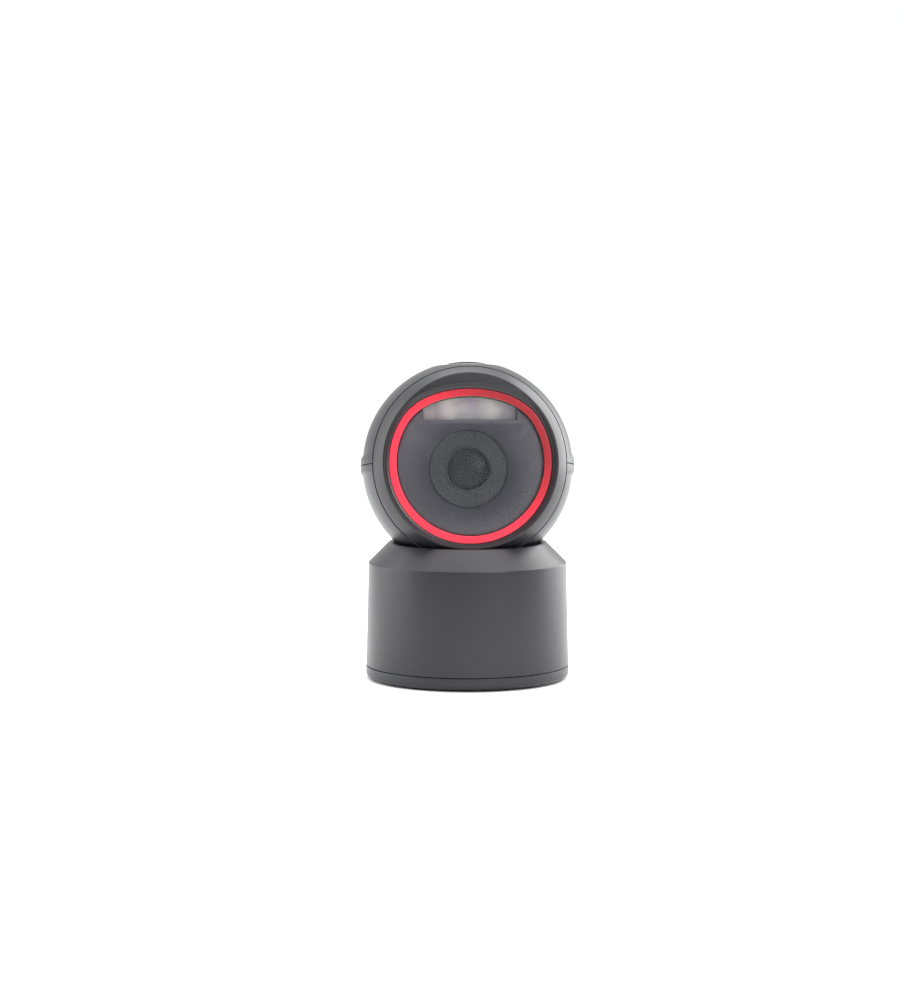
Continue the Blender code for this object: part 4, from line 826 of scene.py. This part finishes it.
trunnion = {"inner": 33.2, "half": 5.5, "tall": 11.0, "bore": 3.3, "boreFrom": 32.2, "boreTo": 40.0}


def trunnionSeat(sign, side):
    # block that carries the tilt pin's end, half in each shell
    half, tall = trunnion["half"], trunnion["tall"]
    wall = math.sqrt((ball["inside"] + 1.0) ** 2 - half**2 - tall**2)
    xs = sorted((side * trunnion["inner"], side * wall))
    zs = sorted((sign * ball["seamGap"] / 2, sign * tall))
    return roundedBox("seat", (xs[0], -half, zs[0]), (xs[1], half, zs[1]), headPlace, shellAbs, 0.3, axis="X")


def trunnionBore(side):
    radius = trunnion["bore"]
    low, high = sorted((side * trunnion["boreFrom"], side * trunnion["boreTo"]))
    bore = [(0, low), (radius, low), (radius, high), (0, high)]
    return turned("bore", bore, headPlace @ Matrix.Rotation(math.pi / 2, 4, "Y"), shellAbs, 48)


def makeSlotTree():
    # a row of rounded slots, shortest at the ends, as one set of cutters
    tree, given = newTree("soundSlots", Count=5, Pitch=3.2, Half=7.0, Drop=0.9, Tall=1.3, Deep=26.0)
    step = addNode(tree, "ShaderNodeCombineXYZ", {2: given["Pitch"]}).outputs[0]
    row = addNode(tree, "GeometryNodeMeshLine", {"Count": given["Count"], "Offset": step}).outputs[0]
    inputs = {0: given["Count"], 1: -0.5, 2: 0.5}
    middle = addNode(tree, "ShaderNodeMath", inputs, operation="MULTIPLY_ADD").outputs[0]
    index = addNode(tree, "GeometryNodeInputIndex").outputs[0]
    away = addNode(tree, "ShaderNodeMath", {0: index, 1: middle}, operation="ADD").outputs[0]
    far = addNode(tree, "ShaderNodeMath", {0: away}, operation="ABSOLUTE").outputs[0]
    shrink = addNode(tree, "ShaderNodeMath", {0: far, 1: given["Drop"]}, operation="MULTIPLY").outputs[0]
    half = addNode(tree, "ShaderNodeMath", {0: given["Half"], 1: shrink}, operation="SUBTRACT").outputs[0]
    long = addNode(tree, "ShaderNodeMath", {0: half, 1: 2.0}, operation="MULTIPLY").outputs[0]
    stretch = addNode(tree, "ShaderNodeCombineXYZ", {0: long, 1: 1.0, 2: 1.0}).outputs[0]
    size = addNode(tree, "ShaderNodeCombineXYZ", {0: 1.0, 1: given["Deep"], 2: given["Tall"]}).outputs[0]
    cube = addNode(tree, "GeometryNodeMeshCube", {"Size": size}).outputs["Mesh"]
    inputs = {"Points": row, "Instance": cube, "Scale": stretch}
    placed = addNode(tree, "GeometryNodeInstanceOnPoints", inputs).outputs[0]
    inputs = {"Geometry": placed, "Offset": (0.0, 38.0, 11.15)}
    moved = addNode(tree, "GeometryNodeSetPosition", inputs).outputs[0]
    endTree(tree, moved, given["Material"])
    return tree


def makeUpperShell():
    top = ball["topZ"]
    arc = ballArc(ball["radius"], ball["bandHalf"] + 1.4, top, 40)
    outline = rounded(
        [
            *bandOutline(1),
            *arc[:-1],
            (ball["topFlat"], top, 0.3), (15.8, top, 0.12), (15.8, 43.3), (13.2, 43.3),
            (13.2, 41.3), *ballArc(ball["inside"], 41.3, ball["seamGap"] / 2, 24),
        ]
    )
    shell = turned("upperShell", outline, headPlace, shellAbs, 240)
    fadeBand(shell)
    for x, y in screwWells:
        changed(shell, screwPost(x, y, 3.4, 1), "UNION")
    for side in (-1, 1):
        changed(shell, trunnionSeat(1, side), "UNION")
        changed(shell, trunnionBore(side))
    changed(shell, frontCutter())
    empty = bpy.data.meshes.new("slots")
    changed(shell, grown("slots", makeSlotTree(), empty, headPlace, shellAbs, Count=5))
    return show(shell, "head", "shell_plastic", "upper_shell")


def makeLowerShell():
    low = math.sqrt(ball["radius"] ** 2 - 9)
    lowInside = math.sqrt(ball["inside"] ** 2 - 9)
    outline = rounded(
        [
            *bandOutline(-1), *ballArc(ball["radius"], -ball["bandHalf"] - 1.4, -low, 40),
            *ballArc(ball["inside"], -lowInside, -ball["seamGap"] / 2, 24),
        ]
    )
    shell = turned("lowerShell", outline, headPlace, shellAbs, 240)
    fadeBand(shell)
    for x, y in screwWells:
        changed(shell, screwPost(x, y, 3.9, -1), "UNION")
    for side in (-1, 1):
        changed(shell, trunnionSeat(-1, side), "UNION")
        changed(shell, trunnionBore(side))
    changed(shell, frontCutter())
    for x, y in screwWells:
        well = [(0, -48), (2.6, -48), (2.6, -wellSeat), (1.35, -wellSeat), (1.35, 1), (0, 1)]
        changed(shell, turned("well", well, headPlace @ at(x, y, 0), shellAbs, 48))
    swing = roundedBox("swing", (-8.0, -12.74, -50.0), (8.0, 20.58, -32.06), headPlace, shellAbs, 1.2, axis="Z")
    changed(shell, swing)
    return show(shell, "head", "shell_plastic", "lower_shell")


def makeShellScrews():
    points = [(x, y, -wellSeat - 0.15) for x, y in screwWells]
    made = screws(
        "shellScrews", points, headPlace, Head=2.2, Height=1.4, Shank=1.1, Length=22.0, Recess=2.6,
        Turn=(math.pi, 0.0, 0.5),
    )
    return show(made, "head", "steel", "shell_screw_1", "shell_screw_2")


makeUpperShell()
makeLowerShell()
makeShellScrews()
stage("ball shells made")


# ---- face
faceSegments = 256


def outlineReach(turn, grow):
    # the ring's outline: a circle whose top is cut by a flatter arc, with softened corners
    r = ringOutline
    centre = r["browHeight"] - r["browRadius"]
    circle = r["radius"] + grow
    brow = centre * math.sin(turn) + math.sqrt((r["browRadius"] + grow) ** 2 - (centre * math.cos(turn)) ** 2)
    share = max(r["corner"] - abs(circle - brow), 0) / r["corner"]
    return min(circle, brow) - share**2 * r["corner"] / 4


def faceLoop(grow, depth, radius=None):
    # a loop at a depth behind the face, offset from the ring's outline, or round where a radius is given
    loop = []
    for i in range(faceSegments):
        turn = 2 * math.pi * i / faceSegments
        r = radius or outlineReach(turn, grow)
        loop.append((r * math.cos(turn), ball["faceY"] + depth, r * math.sin(turn)))
    return loop


bezelShape = {
    "lip": 1.0, "lipRound": 0.55, "brow": 2.5, "browRound": 0.6, "slopeEnd": 1.3, "sleeve": (40.0, 41.0),
}


def makeBezel():
    # each spoke of the bezel has its own outline, as the land before the ring is wider under the brow
    b = bezelShape
    steps = 14
    spokes = []
    for i in range(faceSegments):
        turn = 2 * math.pi * i / faceSegments
        ring = outlineReach(turn, 0)
        inner = min(ring + b["brow"], ball["faceRadius"] - b["lip"])
        fall = 0.6 * max(ball["faceRadius"] - inner - 1.2, 0)  # the land under the brow slopes back
        edge = math.sqrt(ball["radius"] ** 2 - (ball["faceY"] + fall) ** 2)
        start, end = ball["seamDepth"] - ball["reveal"], fall + 1.2
        depths = [start + (end - start) * j / steps for j in range(steps + 1)]
        zone = [(math.sqrt(ball["radius"] ** 2 - (ball["faceY"] + d) ** 2), d) for d in depths]
        outline = rounded(
            [
                (*zone[0], 0.25),
                *zone[1:],
                (edge, fall, b["lipRound"]), (inner, 0, b["browRound"]),
                (ring + b["slopeEnd"], 1.15, 0.4), (ring + 0.25, 1.4, 0.12), (ring + 0.25, 5.8),
                (b["sleeve"][0], 5.8), (b["sleeve"][0], 10.3), (b["sleeve"][1], 10.3),
                (b["sleeve"][1], start),
            ],
            6,
        )
        spokes.append([(r * math.cos(turn), ball["faceY"] + d, r * math.sin(turn)) for r, d in outline])
    bezel = lofted("frontBezel", list(zip(*spokes)), headPlace, shellAbs, closed=True)
    return show(bezel, "head", "shell_plastic", "front_bezel")


def makeLightRing():
    width = ringOutline["width"]
    outline = rounded(
        [(0, 1.1, 0.4), (-width, 1.1, 0.4), (-width, 2.0), (-1.65, 2.0), (-1.65, 5.0), (0, 5.0)], 6
    )
    ring = lofted("lightRing", [faceLoop(s, d) for s, d in outline], headPlace, redGuide, closed=True)
    return show(ring, "head", "red_light_guide", "light_ring")


def makeWindow():
    edge = rounded([(-2.0, 2.3, 0.2), (-2.0, 3.8, 0.2), (-9, 3.8), (-9, 2.3)], 3)[:-2]
    pane = lofted("scanWindow", [faceLoop(s, d) for s, d in edge], headPlace, windowAcrylic)
    return show(pane, "head", "clear_acrylic", "scan_window")


funnel = {
    "plugFront": 4.1, "flange": 8.0, "flangeBack": 9.8, "outer": 39.7, "roof": 17.4,
    "mouth": -4.95, "tube": 17.8, "depth": 20.3, "steps": 26,
}


def softMin(a, b, blend):
    share = max(blend - abs(a - b), 0) / blend
    return min(a, b) - share**2 * blend / 4


def funnelLoops(grow, front, back):
    # from the mouth, along the window's outline under a flat roof, to the round tube
    loops = []
    for i in range(funnel["steps"] + 1):
        depth = front + (back - front) * i / funnel["steps"]
        share = min(max((depth - funnel["plugFront"]) / (funnel["depth"] - funnel["plugFront"]), 0), 1)
        bend = share + 0.10 * math.sin(math.pi * share)  # slightly bowled
        lip = max(4.9 - depth, 0) / 0.8 if grow == 0 else 0
        loop = []
        for j in range(faceSegments):
            turn = 2 * math.pi * j / faceSegments
            reach = outlineReach(turn, funnel["mouth"]) + grow + 0.5 * min(lip, 1) ** 2
            roof = funnel["roof"] + grow + 0.9 * min(lip, 1) ** 2
            if math.sin(turn) > 0:
                reach = softMin(reach, roof / math.sin(turn), 1.2 + 22 * share)
            mouth = Vector((reach * math.cos(turn), reach * math.sin(turn)))
            tube = Vector((math.cos(turn), math.sin(turn))) * (funnel["tube"] + grow)
            tube.y -= ball["lensDrop"]
            point = mouth.lerp(tube, min(bend, 1.0))
            loop.append((point.x, ball["faceY"] + depth, point.y))
        loops.append(loop)
    return loops


def makeShroud():
    f = funnel
    plug = -3.75
    loops = [faceLoop(plug - 0.25, f["plugFront"]), faceLoop(plug, f["plugFront"] + 0.25)]
    loops += [faceLoop(plug, f["flange"]), faceLoop(0, f["flange"], f["outer"])]
    loops += [faceLoop(0, f["flangeBack"], f["outer"])]
    shroud = lofted("opticsShroud", loops, headPlace, funnelAbs)
    changed(shroud, lofted("cone", funnelLoops(1.5, 8.6, f["depth"] + 2.2), headPlace, funnelAbs), "UNION")
    postEnd = ball["faceY"] + f["depth"] + 22.6
    for x, z in ((-27.8, 12.3), (27.8, 12.3), (22, -18), (-22, -18)):
        post = [(0, ball["faceY"] + 8.7), (2.6, ball["faceY"] + 8.7), (2.6, postEnd), (0, postEnd)]
        placed = headPlace @ at(x, 0, z) @ lookBack
        changed(shroud, turned("post", post, placed, funnelAbs, 28), "UNION")
    changed(shroud, lofted("hollow", funnelLoops(0, 3.0, f["depth"] + 1.6), headPlace, funnelAbs))
    near = ball["faceY"] + f["depth"] + 0.5
    pupil = [(0, near), (15.0, near), (15.0, near + 7.5), (0, near + 7.5)]
    changed(shroud, turned("pupil", pupil, headPlace @ at(0, 0, -ball["lensDrop"]) @ lookBack, funnelAbs, 96))
    low, high = (-21.2, ball["faceY"] + 3.0, 19.2), (21.2, ball["faceY"] + 10.9, 32.4)
    changed(shroud, roundedBox("slot", low, high, headPlace, funnelAbs, 0.4))
    return show(shroud, "head", "funnel_plastic", "optics_shroud")


panelShape = {"half": 20.9, "low": 19.5, "high": 32.1, "depth": 8.0, "thick": 1.8, "cupX": 9.6, "cupZ": 25.8}


def makeIllumination():
    p = panelShape
    front = ball["faceY"] + p["depth"]
    low, high = (-p["half"], front, p["low"]), (p["half"], front + p["thick"], p["high"])
    panel = roundedBox("illuminationLens", low, high, headPlace, milkyPanel, 0.5)
    show(panel, "head", "milky_diffuser", "illumination_lens")
    start, end = front + 2.1, front + 8.6
    low, high = (-p["half"], start, p["low"]), (p["half"], end, p["high"])
    body = roundedBox("illuminationReflector", low, high, headPlace, cupMetal, 0.4)
    for side in (-1, 1):
        cup = [(0, start - 1.0)]
        steps = [i / 12 for i in range(13)]
        cup += [(5.9 - 3.6 * t**1.6, start - 1.0 + (end - start + 1.1) * t) for t in steps]
        cup += [(0, end + 0.1)]
        placed = headPlace @ at(side * p["cupX"], 0, p["cupZ"]) @ lookBack
        changed(body, turned("cup", cup, placed, cupMetal, 64))
    show(body, "head", "acetal", "illumination_reflector")


def makeHood():
    base = ball["faceY"] + funnel["depth"]
    outline = rounded(
        [
            (17.5, base - 0.75, 0.2), (17.5, base + 0.2), (14.7, base + 0.2), (14.7, base + 2.6),
            (11.5, base + 2.6), (10.0, base + 1.4, 0.2), (9.8, base - 0.9, 0.25),
            (10.5, base - 0.9, 0.3), (10.9, base - 0.35, 0.3), (16.7, base - 0.45, 0.3),
        ],
        5,
    )
    placed = headPlace @ at(0, 0, -ball["lensDrop"]) @ lookBack
    hood = turned("lensHood", outline, placed, hoodNylon, 192)
    show(hood, "head", "dark_plastic", "lens_hood")
    start = base + 3.0
    dome = [(9.4 * i / 16, start + 0.4 - 1.6 * (1 - (i / 16) ** 2)) for i in range(17)]
    lens = turned("frontLens", [*dome, (9.4, start + 2.6), (0, start + 2.6)], placed, lensGlass, 128)
    show(lens, "head", "lens_glass", "front_lens")


makeBezel()
makeLightRing()
makeWindow()
makeShroud()
makeIllumination()
makeHood()
stage("face made")


# ---- top of the head
def makeTop():
    top = ball["topZ"]
    guide = rounded(
        [
            (15.5, 43.6), (15.5, top + 0.05, 0.2), (12.6, top + 0.45, 2.0), (9.5, top + 0.58, 0.2),
            (9.3, top + 0.3), (9.3, 42.4), (12.9, 42.4), (12.9, 43.6),
        ],
        6,
    )
    ring = turned("statusRing", guide, headPlace, opalGuide, 192)
    show(ring, "head", "status_lens", "status_ring")
    cap = [(8.6 * i / 12, top + 2.3 - 0.85 * (i / 12) ** 2) for i in range(12)]
    outline = rounded(
        [
            *cap,
            (8.9, top + 1.4, 0.5), (8.9, 42.1), (10.6, 42.1), (10.6, 41.6), (7.7, 41.6),
            (7.7, top - 0.65), (1.6, top - 0.65), (1.6, 42.35), (0, 42.35),
        ]
    )
    button = turned("scanButton", outline, headPlace, capAbs, 128)
    show(button, "button", "shell_plastic", "scan_button")


makeTop()
stage("button and status ring made")

# ---- what stays as the frame made it gets its real finish
inside = {
    "dark_plastic": blackNylon,
    "circuit_board": boardGreen,
    "steel": zincSteel,
    "aluminium": castAluminium,
    "acetal": bushAcetal,
    "cable_jacket": leadVinyl,
    "shell_plastic": shellAbs,
}
slotOf = {part["node"]: part["material_slot"] for part in frame["record"]["subparts"]}
for name, node in frame["nodes"].items():
    if slotOf[name] in inside:
        node.data.materials.clear()
        node.data.materials.append(inside[slotOf[name]])


# ---- room, lights and camera
def areaLight(name, place, target, size, power):
    light = bpy.data.lights.new(name, "AREA")
    light.shape = "RECTANGLE"
    light.size, light.size_y = size
    light.energy = power
    made = bpy.data.objects.new(name, light)
    scene.collection.objects.link(made)
    made.location = place
    made.rotation_euler = (Vector(target) - Vector(place)).to_track_quat("-Z", "Y").to_euler()


def makeRoom():
    mesh = bpy.data.meshes.new("studioFloor")
    mesh.from_pydata([(-9, -9, 0), (9, -9, 0), (9, 25, 0), (-9, 25, 0)], [], [(0, 1, 2, 3)])
    mesh.materials.append(paintMatt())
    floor = bpy.data.objects.new("studioFloor", mesh)
    scene.collection.objects.link(floor)
    world = bpy.data.worlds.new("studio")
    scene.world = world
    world.use_nodes = True
    # the white room is dimmer on the camera's side, which keeps the fronts of dark pieces dark
    tree = world.node_tree
    sky = tree.nodes["Background"]
    sky.inputs["Color"].default_value = colour("#ffffff")
    along = addNode(tree, "ShaderNodeTexCoord").outputs["Generated"]
    apart = addNode(tree, "ShaderNodeSeparateXYZ", {0: along}).outputs
    bright = addNode(
        tree, "ShaderNodeMapRange",
        {"Value": apart["Y"], "From Min": -1.0, "From Max": 0.1, "To Min": 0.42, "To Max": 1.02},
        interpolation_type="SMOOTHSTEP",
    ).outputs["Result"]
    ceiling = addNode(
        tree, "ShaderNodeMapRange", {"Value": apart["Z"], "From Min": 0.42, "From Max": 0.95, "To Max": 0.9},
        interpolation_type="SMOOTHSTEP",
    ).outputs["Result"]
    total = addNode(tree, "ShaderNodeMath", {0: bright, 1: ceiling}, operation="ADD").outputs[0]
    tree.links.new(total, sky.inputs["Strength"])
    areaLight("rightSoftbox", (0.95, 0.55, 0.5), (0, 0, 0.08), (1.1, 1.1), 13.0)
    areaLight("leftSoftbox", (-1.0, 0.1, 0.45), (0, 0, 0.08), (1.1, 1.0), 6.0)
    areaLight("topSoftbox", (0.1, 0.2, 1.1), (0, 0, 0.08), (1.2, 1.0), 6.0)
    areaLight("windowSoftbox", (0.5, -0.9, 0.55), (0, 0, 0.09), (0.35, 0.35), 3.6)
    scene.view_settings.view_transform = "Standard"
    scene.view_settings.look = "None"


camera = {"distance": 1.3, "azimuth": -2.8, "elevation": 5.15, "lens": 102.3, "aim": (-0.0071, 0.0, 0.0818)}


def makeCamera():
    data = bpy.data.cameras.new("camera")
    data.lens = camera["lens"]
    data.sensor_width = 36.0
    data.clip_start, data.clip_end = 0.05, 50.0
    made = bpy.data.objects.new("camera", data)
    scene.collection.objects.link(made)
    a, e = math.radians(camera["azimuth"]), math.radians(camera["elevation"])
    back = Vector((math.sin(a) * math.cos(e), -math.cos(a) * math.cos(e), math.sin(e)))
    made.location = Vector(camera["aim"]) + back * camera["distance"]
    made.rotation_euler = (-back).to_track_quat("-Z", "Y").to_euler()
    scene.camera = made


makeRoom()
makeCamera()
stage("room, lights and camera made")
